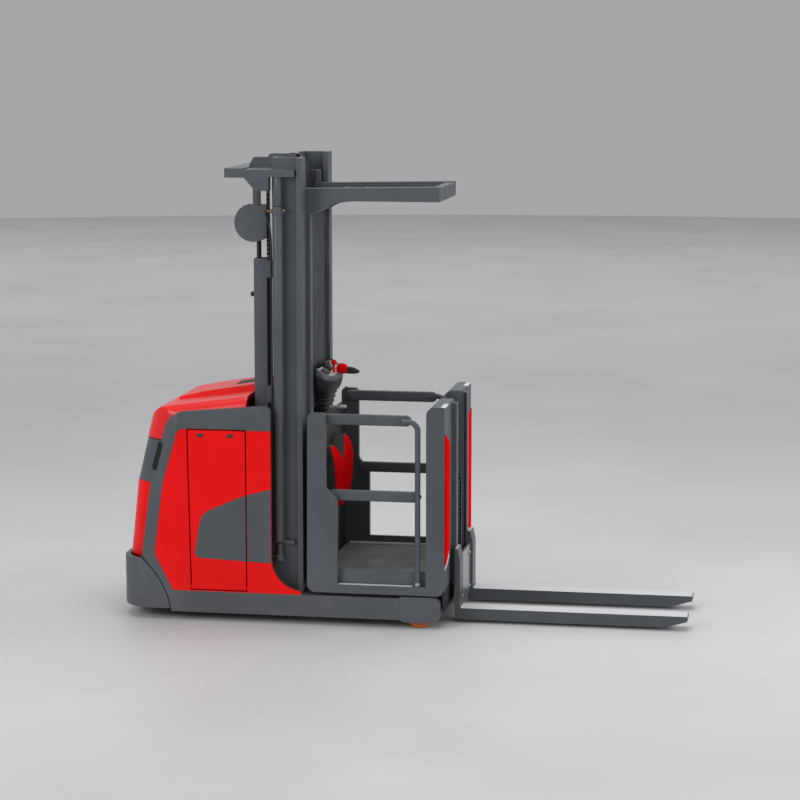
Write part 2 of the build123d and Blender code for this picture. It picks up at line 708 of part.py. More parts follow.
def vent_form():
    """The slanted air intake along the rear edge of an arch leg."""
    low = BAND_BOTTOM + VENT_RISE
    high = low + VENT_HEIGHT
    face = outline(
        (arch_edge(low) - VENT_REAR_REACH, low, VENT_ROUND),
        (arch_edge(low) + VENT_FRONT_REACH, low, VENT_ROUND),
        (arch_edge(high) + VENT_FRONT_REACH, high, VENT_ROUND),
        (arch_edge(high) - VENT_REAR_REACH, high, VENT_ROUND),
    )
    return side_slab(face, -BODY_WIDTH, BODY_WIDTH)


def wall_outline():
    """Side view of the whole side wall."""
    top = SIDE_TOP - ARCH_DROP
    return outline(
        (BUMPER_SEAM_TOP, BEAM_TOP, 0),
        (BUMPER_SEAM_TOP, BUMPER_TOP, 0),
        (ARCH_KNEE_STATION, ARCH_KNEE_HEIGHT, ARCH_KNEE_RADIUS),
        (arch_edge(top), top, ARCH_CORNER),
        (SIDE_FRONT, SIDE_TOP, ARCH_FRONT_CORNER),
        *foot_rows(),
    )


def field_outline(gap):
    """Side view of the red field inside the grey arch, smaller by a gap along the arch."""
    top = SIDE_TOP - ARCH_BAND - gap
    low = BUMPER_TOP + FIELD_LOW_RISE
    leg = BUMPER_SEAM_TOP + ARCH_LEG + gap
    knee = leg + ARCH_LEAN * (ARCH_KNEE_RISE - FIELD_LOW_RISE)
    return outline(
        (FIELD_LOW_STATION + gap, BEAM_TOP, 0),
        (leg, low, FIELD_LOW_CORNER),
        (knee, ARCH_KNEE_HEIGHT, ARCH_KNEE_RADIUS),
        (knee + ARCH_UPPER_LEAN * (top - ARCH_KNEE_HEIGHT), top, FIELD_TOP_CORNER),
        (SIDE_FRONT, top, 0),
        *foot_rows(),
    )


def inlay_form(gap):
    """The grey field set into the red wall, smaller by a gap."""
    face = outline(
        (SIDE_FRONT, INLAY_TOP, 0),
        (SIDE_FRONT - INLAY_BEND_SETBACK, INLAY_TOP - INLAY_BEND_DROP, INLAY_BEND_RADIUS),
        (DOOR_REAR_BOTTOM + INLAY_NOSE_REACH, INLAY_TOP - INLAY_NOSE_DROP, INLAY_NOSE_RADIUS),
        (DOOR_REAR_BOTTOM + INLAY_TAIL_REACH, INLAY_BOTTOM + INLAY_TAIL_RISE, INLAY_TAIL_RADIUS),
        (SIDE_FRONT, INLAY_BOTTOM, 0),
    )
    return side_slab(offset(face, -gap), -HALF_WIDTH, -HALF_WIDTH + INLAY_DEPTH)


def door_pin_holes(side):
    """Round holes beside the door's lower corners for its hinge pins."""
    return long_rod(
        side,
        DOOR_BOTTOM + DOOR_PIN_HEIGHT,
        DOOR_PIN_RADIUS + RUNNING_GAP,
        DOOR_REAR_BOTTOM - DOOR_PIN_LENGTH - CLEAR,
        DOOR_FRONT + DOOR_PIN_LENGTH + CLEAR,
    )


def side_frames():
    liner_inside = HALF_WIDTH - PANEL_THICKNESS - LINER_THICKNESS
    wall = side_slab(wall_outline(), -HALF_WIDTH, -liner_inside)
    field = side_slab(field_outline(0), -HALF_WIDTH, -HALF_WIDTH + PANEL_THICKNESS)
    frame = wall - field - side_opening() - seam_region(SEAM) - vent_form()
    lean = (HOOD_REAR - PANEL_REAR) / (BAND_TOP - BUMPER_TOP)
    return pair(frame & leaning_form(PANEL_REAR, BUMPER_TOP, lean, HALF_WIDTH, BODY_CORNER))


def side_panels():
    field = side_slab(field_outline(PANEL_SEAM), -HALF_WIDTH, -HALF_WIDTH + PANEL_THICKNESS)
    panels = field - side_opening() - seam_region(SEAM) - door_pin_holes(-HALF_WIDTH + DOOR_PIN_DEPTH)
    right = (panels - inlay_form(0)).solids()
    return right + [mirror(solid, about=Plane.XZ) for solid in right]


def side_inlays():
    field = side_slab(field_outline(PANEL_SEAM), -HALF_WIDTH, -HALF_WIDTH + PANEL_THICKNESS)
    return pair((inlay_form(RUNNING_GAP) & field) - side_opening())


def rear_panel():
    return [shell_slice(PANEL_REAR, PANEL_LEAN, 0, BUMPER_TOP, BAND_BOTTOM)]


def rear_band():
    band = shell_slice(BAND_REAR, BAND_LEAN, BAND_RECESS, BAND_BOTTOM, BAND_TOP)
    return [band - vent_form()]


def battery():
    bottom = TRAY_BOTTOM + TRAY_THICKNESS
    return [
        block(
            DOOR_REAR_BOTTOM + BATTERY_MARGIN,
            DOOR_FRONT - BATTERY_MARGIN,
            -BATTERY_HALF_WIDTH,
            BATTERY_HALF_WIDTH,
            bottom,
            bottom + BATTERY_HEIGHT,
        )
    ]


def hood():
    room = block(BUMPER_REAR, HOOD_FRONT, -HALF_WIDTH, HALF_WIDTH, BAND_TOP + CLEAR, MAST_TOP)
    sheet = (hood_form(0) - hood_form(BODY_SHELL)) & room
    start_top = HOOD_FRONT_TOP - HOOD_SLOPE * HATCH_LENGTH
    hatch_side = outline(
        (HATCH_START, start_top - BODY_SHELL / 2, 0),
        (HATCH_START, start_top + HATCH_STEP, HATCH_STEP / 2),
        (HATCH_START + HATCH_BEND_RUN, start_top + HATCH_STEP + HATCH_BEND_RISE, HATCH_BEND_RADIUS),
        (HOOD_FRONT, HOOD_FRONT_TOP + HATCH_FRONT_RISE, 0),
        (HOOD_FRONT, HOOD_FRONT_TOP - BODY_SHELL / 2, 0),
    )
    body = sheet + side_slab(hatch_side, -HATCH_HALF_WIDTH, HATCH_HALF_WIDTH)
    ear_high = HOOD_HINGE_HEIGHT + HOOD_EAR_RADIUS
    ear_low = HOOD_HINGE_HEIGHT - HOOD_EAR_RADIUS
    ear_side = outline(
        (HOOD_FRONT - HOOD_EAR_ROOT, ear_low, 0),
        (HOOD_HINGE_STATION + HOOD_EAR_RADIUS, ear_low, HOOD_EAR_RADIUS / 2),
        (HOOD_HINGE_STATION + HOOD_EAR_RADIUS, ear_high, HOOD_EAR_RADIUS / 2),
        (HOOD_FRONT - HOOD_EAR_ROOT, ear_high - HOOD_EAR_RADIUS, 0),
    )
    ear_end = HOOD_EAR_SIDE + HOOD_EAR_THICKNESS
    ear = side_slab(ear_side, -ear_end, -HOOD_EAR_SIDE)
    pin_end = ear_end + HOOD_PIN_LENGTH
    ear += cross_rod(HOOD_HINGE_STATION, HOOD_HINGE_HEIGHT, HOOD_PIN_RADIUS, -pin_end, -ear_end)
    for part in pair(ear):
        body += part
    return [body]


def battery_door(side):
    panel = side_slab(door_outline(0), -HALF_WIDTH, -HALF_WIDTH + PANEL_THICKNESS)
    pin_side = -HALF_WIDTH + DOOR_PIN_DEPTH
    pin_height = DOOR_BOTTOM + DOOR_PIN_HEIGHT
    door = panel - inlay_form(0)
    for edge in (DOOR_REAR_BOTTOM, DOOR_FRONT):
        ends = (edge - DOOR_PIN_LENGTH, edge + DOOR_PIN_LENGTH)
        door += long_rod(pin_side, pin_height, DOOR_PIN_RADIUS, *ends)
    return [door if side < 0 else mirror(door, about=Plane.XZ)]


def door_inlay(side):
    panel = side_slab(door_outline(0), -HALF_WIDTH, -HALF_WIDTH + PANEL_THICKNESS)
    inlay = inlay_form(RUNNING_GAP) & panel
    return [inlay if side < 0 else mirror(inlay, about=Plane.XZ)]


# Drive unit and wheels

def drive_unit():
    plate_top = DRIVE_PLATE_BOTTOM + DRIVE_PLATE_THICKNESS
    flange_top = DRIVE_PLATE_BOTTOM - RUNNING_GAP
    flange_bottom = flange_top - TURNTABLE_FLANGE / 2
    flange = upright_rod(DRIVE_STATION, 0, TURNTABLE_RADIUS + TURNTABLE_FLANGE, flange_bottom, flange_top)
    neck = upright_rod(DRIVE_STATION, 0, TURNTABLE_RADIUS - RUNNING_GAP, flange_bottom, plate_top + CLEAR)
    motor = upright_rod(DRIVE_STATION, 0, MOTOR_RADIUS, plate_top, plate_top + MOTOR_HEIGHT)
    inside = DRIVE_WHEEL_WIDTH / 2 + CLEAR
    gear_plan = outline(
        (DRIVE_STATION - MOTOR_RADIUS, inside, GEARBOX_THICKNESS / 3),
        (DRIVE_STATION + MOTOR_RADIUS, inside, GEARBOX_THICKNESS / 3),
        (DRIVE_STATION + MOTOR_RADIUS, inside + GEARBOX_THICKNESS, GEARBOX_THICKNESS / 3),
        (DRIVE_STATION - MOTOR_RADIUS, inside + GEARBOX_THICKNESS, GEARBOX_THICKNESS / 3),
    )
    gearbox = plan_slab(gear_plan, BEAM_BOTTOM, flange_top)
    axle_end = -DRIVE_WHEEL_WIDTH / 2
    axle = cross_rod(DRIVE_STATION, DRIVE_WHEEL_RADIUS, DRIVE_AXLE_RADIUS, axle_end, inside + CLEAR)
    return [flange + neck + motor + gearbox + axle]


def drive_wheel():
    half = DRIVE_WHEEL_WIDTH / 2
    tyre = cross_rod(DRIVE_STATION, DRIVE_WHEEL_RADIUS, DRIVE_WHEEL_RADIUS, -half, half)
    bore = cross_rod(DRIVE_STATION, DRIVE_WHEEL_RADIUS, DRIVE_AXLE_RADIUS + RUNNING_GAP, -half, half)
    return [tyre - bore]


def load_wheel(side):
    centre = side * (HALF_WIDTH - HOUSING_WIDTH / 2)
    low = centre - LOAD_WHEEL_WIDTH / 2
    high = centre + LOAD_WHEEL_WIDTH / 2
    tyre = cross_rod(LOAD_WHEEL_STATION, LOAD_WHEEL_RADIUS, LOAD_WHEEL_RADIUS, low, high)
    bore = cross_rod(LOAD_WHEEL_STATION, LOAD_WHEEL_RADIUS, LOAD_AXLE_RADIUS + RUNNING_GAP, low, high)
    return [tyre - bore]


# Mast

def outer_mast():
    rows = [
        (MAST_REAR, -MAST_WEB_OUTSIDE, 0),
        (MAST_FRONT - MAST_FRONT_FLANGE, -MAST_WEB_OUTSIDE, 0),
        (MAST_FRONT - MAST_FRONT_FLANGE, -MAST_HALF_WIDTH, 0),
        (MAST_FRONT, -MAST_HALF_WIDTH, 0),
        (MAST_FRONT, -MAST_INSIDE, 0),
        (MAST_FRONT - MAST_FRONT_FLANGE, -MAST_INSIDE, 0),
        (MAST_FRONT - MAST_FRONT_FLANGE, -MAST_WEB_OUTSIDE + MAST_WEB, 0),
        (MAST_REAR + MAST_REAR_FLANGE, -MAST_WEB_OUTSIDE + MAST_WEB, 0),
        (MAST_REAR + MAST_REAR_FLANGE, -MAST_INSIDE, 0),
        (MAST_REAR, -MAST_INSIDE, 0),
    ]
    return pair(plan_slab(outline(*rows), MAST_FOOT_TOP, MAST_TOP))


def mast_crossbars():
    rear = MAST_REAR - CROSSBAR_DEPTH
    bottoms = [MAST_FOOT_TOP, SIDE_TOP, CHAIN_ANCHOR - CROSSBAR_HEIGHT / 2]
    half = MAST_WEB_OUTSIDE
    bars = [block(rear, MAST_REAR, -half, half, bottom, bottom + CROSSBAR_HEIGHT) for bottom in bottoms]
    bracket_inside = HOOD_EAR_SIDE + HOOD_EAR_THICKNESS + CLEAR
    eye = 2 * HOOD_PIN_RADIUS
    bracket_side = outline(
        (HOOD_HINGE_STATION - eye, HOOD_HINGE_HEIGHT - eye, HOOD_PIN_RADIUS),
        (rear, HOOD_HINGE_HEIGHT - eye, 0),
        (rear, HOOD_HINGE_HEIGHT + eye, 0),
        (HOOD_HINGE_STATION - eye, HOOD_HINGE_HEIGHT + eye, HOOD_PIN_RADIUS),
    )
    bracket = side_slab(bracket_side, -bracket_inside - HOOD_EAR_THICKNESS, -bracket_inside)
    bracket -= cross_rod(
        HOOD_HINGE_STATION,
        HOOD_HINGE_HEIGHT,
        HOOD_PIN_RADIUS + RUNNING_GAP,
        -bracket_inside - HOOD_EAR_THICKNESS,
        -bracket_inside,
    )
    for part in pair(bracket):
        bars[1] += part
    return bars


def lift_cylinders():
    side = -MAST_WEB_OUTSIDE - CYLINDER_SIDE_GAP - CYLINDER_RADIUS
    barrel = upright_rod(CYLINDER_STATION, side, CYLINDER_RADIUS, CYLINDER_BOTTOM, CYLINDER_TOP)
    clamp_rear = CYLINDER_STATION - CYLINDER_RADIUS
    foot_clamp = block(
        clamp_rear,
        CYLINDER_STATION + CYLINDER_RADIUS + FOOT_CLAMP_LENGTH,
        side,
        -MAST_WEB_OUTSIDE,
        CYLINDER_BOTTOM + CLEAR - FOOT_CLAMP_HEIGHT,
        CYLINDER_BOTTOM + CLEAR,
    )
    top_clamp = block(
        clamp_rear,
        CYLINDER_STATION + CYLINDER_RADIUS,
        side,
        -MAST_WEB_OUTSIDE,
        CYLINDER_TOP - GLAND_HEIGHT - TOP_CLAMP_HEIGHT,
        CYLINDER_TOP - GLAND_HEIGHT,
    )
    bore = upright_rod(CYLINDER_STATION, side, ROD_RADIUS + RUNNING_GAP, ROD_BOTTOM - CLEAR, CYLINDER_TOP)
    return pair(barrel + foot_clamp + top_clamp - bore)


def hose_duct():
    front = MAST_REAR - CROSSBAR_DEPTH
    low = -DUCT_SIDE - DUCT_WIDTH / 2
    high = -DUCT_SIDE + DUCT_WIDTH / 2
    bottom = TRAY_BOTTOM + TRAY_THICKNESS
    box = block(DUCT_REAR, front, low, high, bottom, DUCT_TOP)
    hollow = block(
        DUCT_REAR + DUCT_WALL,
        front - DUCT_WALL,
        low + DUCT_WALL,
        high - DUCT_WALL,
        bottom + DUCT_WALL,
        DUCT_TOP,
    )
    return [box - hollow]


def inner_mast():
    rear = MAST_REAR + MAST_REAR_FLANGE + INNER_GAP
    front = MAST_FRONT - MAST_FRONT_FLANGE - INNER_GAP
    outside = MAST_WEB_OUTSIDE - MAST_WEB - INNER_GAP
    height = (INNER_BOTTOM, HEAD_BOTTOM)
    rear_flange = block(rear, rear + INNER_FLANGE, -outside, -INNER_INSIDE, *height)
    front_flange = block(front - INNER_FLANGE, front, -outside, -INNER_INSIDE, *height)
    web = block(rear, front, -INNER_WEB_INSIDE - INNER_WEB, -INNER_WEB_INSIDE, *height)
    shoe = block(
        rear - INNER_GAP + RUNNING_GAP,
        front + INNER_GAP - RUNNING_GAP,
        -outside - INNER_GAP + RUNNING_GAP,
        -INNER_WEB_INSIDE - INNER_WEB,
        INNER_BOTTOM,
        INNER_BOTTOM + CROSSBAR_HEIGHT,
    )
    return pair(rear_flange + front_flange + web + shoe)


def mast_head():
    top = HEAD_BOTTOM + HEAD_THICKNESS
    outside = MAST_WEB_OUTSIDE + CYLINDER_SIDE_GAP + 2 * CYLINDER_RADIUS
    inner_rear = MAST_REAR + MAST_REAR_FLANGE + INNER_GAP
    plate = block(HEAD_STEP, inner_rear + INNER_FLANGE, -outside, outside, HEAD_BOTTOM, top)
    arms_front = MAST_FRONT - MAST_FRONT_FLANGE - CLEAR
    plate += block(HEAD_STEP, arms_front, -outside, outside, HEAD_BOTTOM, top)
    plate -= block(
        inner_rear - CLEAR, arms_front, -INNER_INSIDE + CLEAR, INNER_INSIDE - CLEAR, HEAD_BOTTOM, top
    )
    plate -= block(
        inner_rear + INNER_FLANGE, arms_front, -MAST_INSIDE, MAST_INSIDE, HEAD_BOTTOM, top
    )
    for notch in pair(
        block(
            MAST_REAR - CLEAR,
            arms_front,
            -MAST_WEB_OUTSIDE - CLEAR,
            -MAST_INSIDE + CLEAR,
            HEAD_BOTTOM,
            top,
        )
    ):
        plate -= notch
    rear_bar = block(
        HEAD_REAR, HEAD_STEP, -outside, outside, HEAD_BOTTOM - HEAD_BAR_OVERHANG, top + HEAD_BAR_OVERHANG
    )
    gusset_side = outline(
        (HEAD_STEP, HEAD_BOTTOM, 0),
        (MAST_REAR - CLEAR, HEAD_BOTTOM, 0),
        (MAST_REAR - CLEAR, HEAD_BOTTOM - GUSSET_SIZE, 0),
        (MAST_REAR - CLEAR - GUSSET_SIZE, HEAD_BOTTOM - GUSSET_SIZE, 0),
    )
    gusset = side_slab(gusset_side, -outside, -MAST_WEB_OUTSIDE - CLEAR)
    head = plate + rear_bar
    for part in pair(gusset):
        head += part
    sheave_half = SHEAVE_WIDTH / 2 + RUNNING_GAP
    slot_reach = SHEAVE_RADIUS + CHAIN_THICKNESS + CLEAR
    cheek_top = SHEAVE_HEIGHT + SHEAVE_CHEEK_RISE
    cheek = SHEAVE_CHEEK_THICKNESS
    for side in (-SHEAVE_SIDE, SHEAVE_SIDE):
        cheek_rows = [
            (SHEAVE_STATION - SHEAVE_CHEEK_FOOT, HEAD_BOTTOM, 0),
            (SHEAVE_STATION + SHEAVE_CHEEK_FRONT, HEAD_BOTTOM, 0),
            (SHEAVE_STATION + SHEAVE_CHEEK_FRONT, cheek_top, SHEAVE_CHEEK_CORNER),
            (SHEAVE_STATION - SHEAVE_CHEEK_REACH, cheek_top, SHEAVE_CHEEK_CORNER),
        ]
        for low in (side - sheave_half - cheek, side + sheave_half):
            head += side_slab(outline(*cheek_rows), low, low + cheek)
        head -= block(
            SHEAVE_STATION - slot_reach,
            SHEAVE_STATION + slot_reach,
            side - sheave_half,
            side + sheave_half,
            HEAD_BOTTOM - HEAD_BAR_OVERHANG,
            MAST_TOP,
        )
        pin_reach = sheave_half + CLEAR
        head -= cross_rod(
            SHEAVE_STATION, SHEAVE_HEIGHT, SHEAVE_PIN_RADIUS + RUNNING_GAP, side - pin_reach, side + pin_reach
        )
    return [head]


def piston_rods():
    side = -MAST_WEB_OUTSIDE - CYLINDER_SIDE_GAP - CYLINDER_RADIUS
    rod = upright_rod(CYLINDER_STATION, side, ROD_RADIUS, ROD_BOTTOM, HEAD_BOTTOM)
    return pair(rod + upright_rod(CYLINDER_STATION, side, ROD_HEAD_RADIUS, CYLINDER_TOP + CLEAR, HEAD_BOTTOM))


def chain_sheaves():
    half = SHEAVE_WIDTH / 2
    flange = SHEAVE_RADIUS + CHAIN_THICKNESS / 2
    groove_half = CHAIN_WIDTH / 2 + RUNNING_GAP
    low = -SHEAVE_SIDE - half
    high = -SHEAVE_SIDE + half
    wheel = cross_rod(SHEAVE_STATION, SHEAVE_HEIGHT, flange, low, high)
    groove_low = -SHEAVE_SIDE - groove_half
    groove_high = -SHEAVE_SIDE + groove_half
    groove = cross_rod(SHEAVE_STATION, SHEAVE_HEIGHT, flange, groove_low, groove_high)
    groove -= cross_rod(SHEAVE_STATION, SHEAVE_HEIGHT, SHEAVE_RADIUS, low, high)
    pin = cross_rod(SHEAVE_STATION, SHEAVE_HEIGHT, SHEAVE_PIN_RADIUS, low - CLEAR, high + CLEAR)
    return pair(wheel - groove + pin)


def chain_loop(station, height, radius, thickness, width, side, front_end, rear_end):
    """A chain's two straight runs and the half turn over its sheave."""
    inner = radius + RUNNING_GAP
    outer = inner + thickness
    low = side - width / 2
    high = side + width / 2
    turn = cross_rod(station, height, outer, low, high) - cross_rod(station, height, inner, low, high)
    turn &= block(station - outer, station + outer, low, high, height, height + outer)
    front = block(station + inner, station + outer, low, high, front_end, height)
    rear = block(station - outer, station - inner, low, high, rear_end, height)
    return turn + front + rear


def lift_chains():
    chain = chain_loop(
        SHEAVE_STATION,
        SHEAVE_HEIGHT,
        SHEAVE_RADIUS,
        CHAIN_THICKNESS,
        CHAIN_WIDTH,
        -SHEAVE_SIDE,
        CHAIN_FRONT_END,
        CHAIN_TAIL,
    )
    return pair(chain)


def hose_pulley():
    low = -DUCT_SIDE - DUCT_WIDTH / 2
    high = -DUCT_SIDE + DUCT_WIDTH / 2
    front = MAST_REAR - CROSSBAR_DEPTH
    disc = Pos(at(DUCT_REAR), PULLEY_HEIGHT) * Circle(GUARD_RADIUS)
    tail = outline(
        (DUCT_REAR, PULLEY_HEIGHT - GUARD_RADIUS, 0),
        (front, PULLEY_HEIGHT - GUARD_RADIUS / 2, 0),
        (front, GUARD_TOP, 0),
        (DUCT_REAR - GUARD_RADIUS / 2, GUARD_TOP, 0),
    )
    square = Rectangle(2 * GUARD_RADIUS, 2 * GUARD_RADIUS)
    above = Pos(at(DUCT_REAR), GUARD_TOP + GUARD_RADIUS) * square
    hanger = outline(
        (DUCT_REAR, GUARD_TOP - CLEAR, 0),
        (DUCT_REAR + HANGER_WIDTH, GUARD_TOP - CLEAR, 0),
        (DUCT_REAR + HANGER_WIDTH, HEAD_BOTTOM, 0),
        (DUCT_REAR, HEAD_BOTTOM, 0),
    )
    ahead = Pos(at(front) + GUARD_RADIUS, PULLEY_HEIGHT) * Rectangle(2 * GUARD_RADIUS, 3 * GUARD_RADIUS)
    cheek = disc - above + tail - ahead + hanger
    body = side_slab(cheek, low - CHEEK_THICKNESS, low)
    body += side_slab(cheek, high, high + CHEEK_THICKNESS)
    body += cross_rod(DUCT_REAR, PULLEY_HEIGHT, PULLEY_RADIUS, low, high) & block(
        HEAD_REAR, front, low, high, 0, GUARD_TOP
    )
    return [body]


def hoses():
    bottom = DUCT_TOP - MAST_TRAVEL - 2 * CLEAR
    station = DUCT_REAR + DUCT_WALL + CLEAR + HOSE_RADIUS
    sides = [-DUCT_SIDE - HOSE_PITCH / 2, -DUCT_SIDE + HOSE_PITCH / 2]
    nearest = station - HOSE_RADIUS - DUCT_REAR
    top = PULLEY_HEIGHT - (PULLEY_RADIUS ** 2 - nearest ** 2) ** 0.5 - RUNNING_GAP
    return [upright_rod(station, side, HOSE_RADIUS, bottom, top) for side in sides]


# Cabin

def platform():
    sill_side = outline(
        (CABIN_REAR, PLATFORM_BOTTOM, SILL_CORNER),
        (CABIN_FRONT, PLATFORM_BOTTOM, SILL_CORNER),
        (CABIN_FRONT, SILL_TOP, 0),
        (CABIN_REAR, SILL_TOP, 0),
    )
    sill = side_slab(sill_side, -HALF_WIDTH, HALF_WIDTH)
    inside = FLOOR_HALF_WIDTH
    wall_rear = CABIN_FRONT - FRONT_WALL_DEPTH
    body = sill + block(CABIN_REAR, wall_rear, -inside, inside, SILL_TOP, FLOOR_HEIGHT)
    toe_top = SILL_TOP + TOE_HEIGHT
    for toe in pair(block(POST_LOWER_FRONT, wall_rear, -inside - TOE_THICKNESS, -inside, SILL_TOP, toe_top)):
        body += toe
    return [body]


def floor_mat():
    half_width = FLOOR_HALF_WIDTH - MAT_MARGIN / 2
    rear = CABIN_REAR + REAR_WALL_DEPTH + MAT_MARGIN
    front = CABIN_FRONT - FRONT_WALL_DEPTH - MAT_MARGIN
    return [block(rear, front, -half_width, half_width, FLOOR_HEIGHT, FLOOR_HEIGHT + MAT_THICKNESS)]


def cabin_posts():
    side = outline(
        (CABIN_REAR, SILL_TOP, 0),
        (POST_LOWER_FRONT, SILL_TOP, 0),
        (POST_LOWER_FRONT, POST_STEP_LOW, POST_STEP_ROUND),
        (POST_UPPER_FRONT, POST_STEP_HIGH, POST_STEP_ROUND),
        (POST_UPPER_FRONT, POST_TOP, POST_TOP_ROUND),
        (CABIN_REAR + CLEAR, POST_TOP, POST_TOP_ROUND),
    )
    inside = HALF_WIDTH - POST_THICKNESS
    post = side_slab(side, -HALF_WIDTH, -inside)
    pin_end = GATE_BAR_SIDE - GATE_BAR_THICKNESS / 2
    for station, height in ((GATE_UPPER_PIVOT, GATE_UPPER_HEIGHT), (GATE_LOWER_PIVOT, GATE_LOWER_HEIGHT)):
        post += cross_rod(station, height, GATE_PIN_RADIUS, -inside, -pin_end)
    return pair(post)


def front_wall():
    rear = CABIN_FRONT - FRONT_WALL_DEPTH
    side = outline(
        (rear, SILL_TOP, 0),
        (CABIN_FRONT, SILL_TOP, 0),
        (CABIN_FRONT, FRONT_WALL_TOP, FRONT_WALL_EDGE),
        (rear, FRONT_WALL_TOP, FRONT_WALL_CORNER),
    )
    wall = side_slab(side, -HALF_WIDTH, HALF_WIDTH)
    recess = block(
        rear + RECESS_SKIN, CABIN_FRONT, -RECESS_HALF_WIDTH, RECESS_HALF_WIDTH, SILL_TOP, FRONT_WALL_TOP
    )
    return [wall - recess]


def front_inserts():
    rows = [
        (-INSERT_OUTSIDE, INSERT_BOTTOM, 0),
        (-INSERT_INSIDE, INSERT_BOTTOM + INSERT_SLANT, INSERT_SLANT),
        (-INSERT_INSIDE, INSERT_TOP - INSERT_SLANT, INSERT_SLANT),
        (-INSERT_OUTSIDE, INSERT_TOP, 0),
    ]
    return pair(front_slab(rows, CABIN_FRONT, CABIN_FRONT + INSERT_DEPTH))


def rear_wall():
    half_width = HALF_WIDTH - POST_THICKNESS
    front = CABIN_REAR + REAR_WALL_DEPTH
    return [block(CABIN_REAR, front, -half_width, half_width, FLOOR_HEIGHT, REAR_WALL_TOP)]


def knee_pads():
    rear = CABIN_REAR + REAR_WALL_DEPTH
    front = rear + KNEE_PAD_DEPTH
    split_low = KNEE_PAD_SPLIT - KNEE_PAD_SPLIT_WIDTH / 2
    split_high = KNEE_PAD_SPLIT + KNEE_PAD_SPLIT_WIDTH / 2
    side = outline(
        (rear, KNEE_PAD_BOTTOM, 0),
        (rear + KNEE_PAD_DEPTH / 2, KNEE_PAD_BOTTOM, KNEE_PAD_FOOT_ROUND),
        (front, KNEE_PAD_BOTTOM + KNEE_PAD_FOOT, KNEE_PAD_LOW_ROUND),
        (front, KNEE_PAD_TOP, KNEE_PAD_HIGH_ROUND),
        (rear, KNEE_PAD_TOP + KNEE_PAD_BROW, 0),
    )
    profile = side_slab(side, -KNEE_PAD_HALF_WIDTH, KNEE_PAD_HALF_WIDTH)
    outer_top = KNEE_PAD_TOP - KNEE_PAD_OUTER_DROP
    outer_bottom = KNEE_PAD_BOTTOM + KNEE_PAD_OUTER_RISE
    split_top = KNEE_PAD_TOP - KNEE_PAD_SPLIT_DROP
    wide_rows = [
        (-KNEE_PAD_HALF_WIDTH, outer_bottom, KNEE_PAD_CORNER),
        (-KNEE_PAD_HALF_WIDTH, KNEE_PAD_TOP, KNEE_PAD_CORNER),
        (split_low, split_top, KNEE_PAD_CORNER),
        (split_low, KNEE_PAD_BOTTOM, KNEE_PAD_CORNER),
    ]
    narrow_rows = [
        (split_high, KNEE_PAD_BOTTOM, KNEE_PAD_CORNER),
        (split_high, split_top, KNEE_PAD_CORNER),
        (KNEE_PAD_HALF_WIDTH - KNEE_PAD_PEAK, KNEE_PAD_TOP, KNEE_PAD_CORNER),
        (KNEE_PAD_HALF_WIDTH, outer_top, KNEE_PAD_CORNER),
        (KNEE_PAD_HALF_WIDTH, outer_bottom, KNEE_PAD_CORNER),
    ]
    return [front_slab(rows, rear, front) & profile for rows in (wide_rows, narrow_rows)]


def cabin_carriage():
    inner_rear = MAST_REAR + MAST_REAR_FLANGE + INNER_GAP
    inner_front = MAST_FRONT - MAST_FRONT_FLANGE - INNER_GAP
    roller_station = (inner_rear + inner_front) / 2
    roller_radius = (inner_front - inner_rear) / 2 - INNER_FLANGE - RUNNING_GAP
    bracket_rear = roller_station - roller_radius
    bracket_inside = INNER_INSIDE - CLEAR - BRACKET_THICKNESS
    bracket_outside = INNER_INSIDE - CLEAR
    low = -UPRIGHT_OUTSIDE
    high = -UPRIGHT_INSIDE
    upright = block(UPRIGHT_REAR, UPRIGHT_FRONT, low, high, UPRIGHT_BOTTOM, GUARD_ROOT_BOTTOM)
    upright += block(UPRIGHT_FRONT, CABIN_REAR, low, high, UPRIGHT_BOTTOM, UPRIGHT_FOOT_TOP)
    for bottom in (UPRIGHT_BOTTOM, CHAIN_FRONT_END):
        top = bottom + BRACKET_HEIGHT
        upright += block(bracket_rear, UPRIGHT_REAR, -bracket_outside, -bracket_inside, bottom, top)
        middle = bottom + BRACKET_HEIGHT / 2
        roller_end = -INNER_WEB_INSIDE + CLEAR
        upright += cross_rod(roller_station, middle, roller_radius, roller_end, -bracket_outside)
    uprights = pair(upright)
    chain_front = SHEAVE_STATION + SHEAVE_RADIUS + RUNNING_GAP + CHAIN_THICKNESS
    bar = block(
        chain_front + CLEAR,
        UPRIGHT_REAR,
        -bracket_inside,
        bracket_inside,
        CHAIN_FRONT_END,
        CHAIN_FRONT_END + CARRIAGE_BAR_HEIGHT,
    )
    return uprights + [bar]


def mast_screen():
    middle = (UPRIGHT_REAR + UPRIGHT_FRONT) / 2
    panel = block(
        middle, middle + SCREEN_THICKNESS, -UPRIGHT_INSIDE, UPRIGHT_INSIDE, SCREEN_BOTTOM, GUARD_ROOT_BOTTOM
    )
    slot_outside = UPRIGHT_INSIDE - 2 * CLEAR
    for slot in pair(
        block(
            middle,
            middle + SCREEN_THICKNESS,
            -slot_outside,
            -slot_outside + SCREEN_SLOT_WIDTH,
            SCREEN_SLOT_BOTTOM,
            SCREEN_SLOT_TOP,
        )
    ):
        panel -= slot
    return [panel]


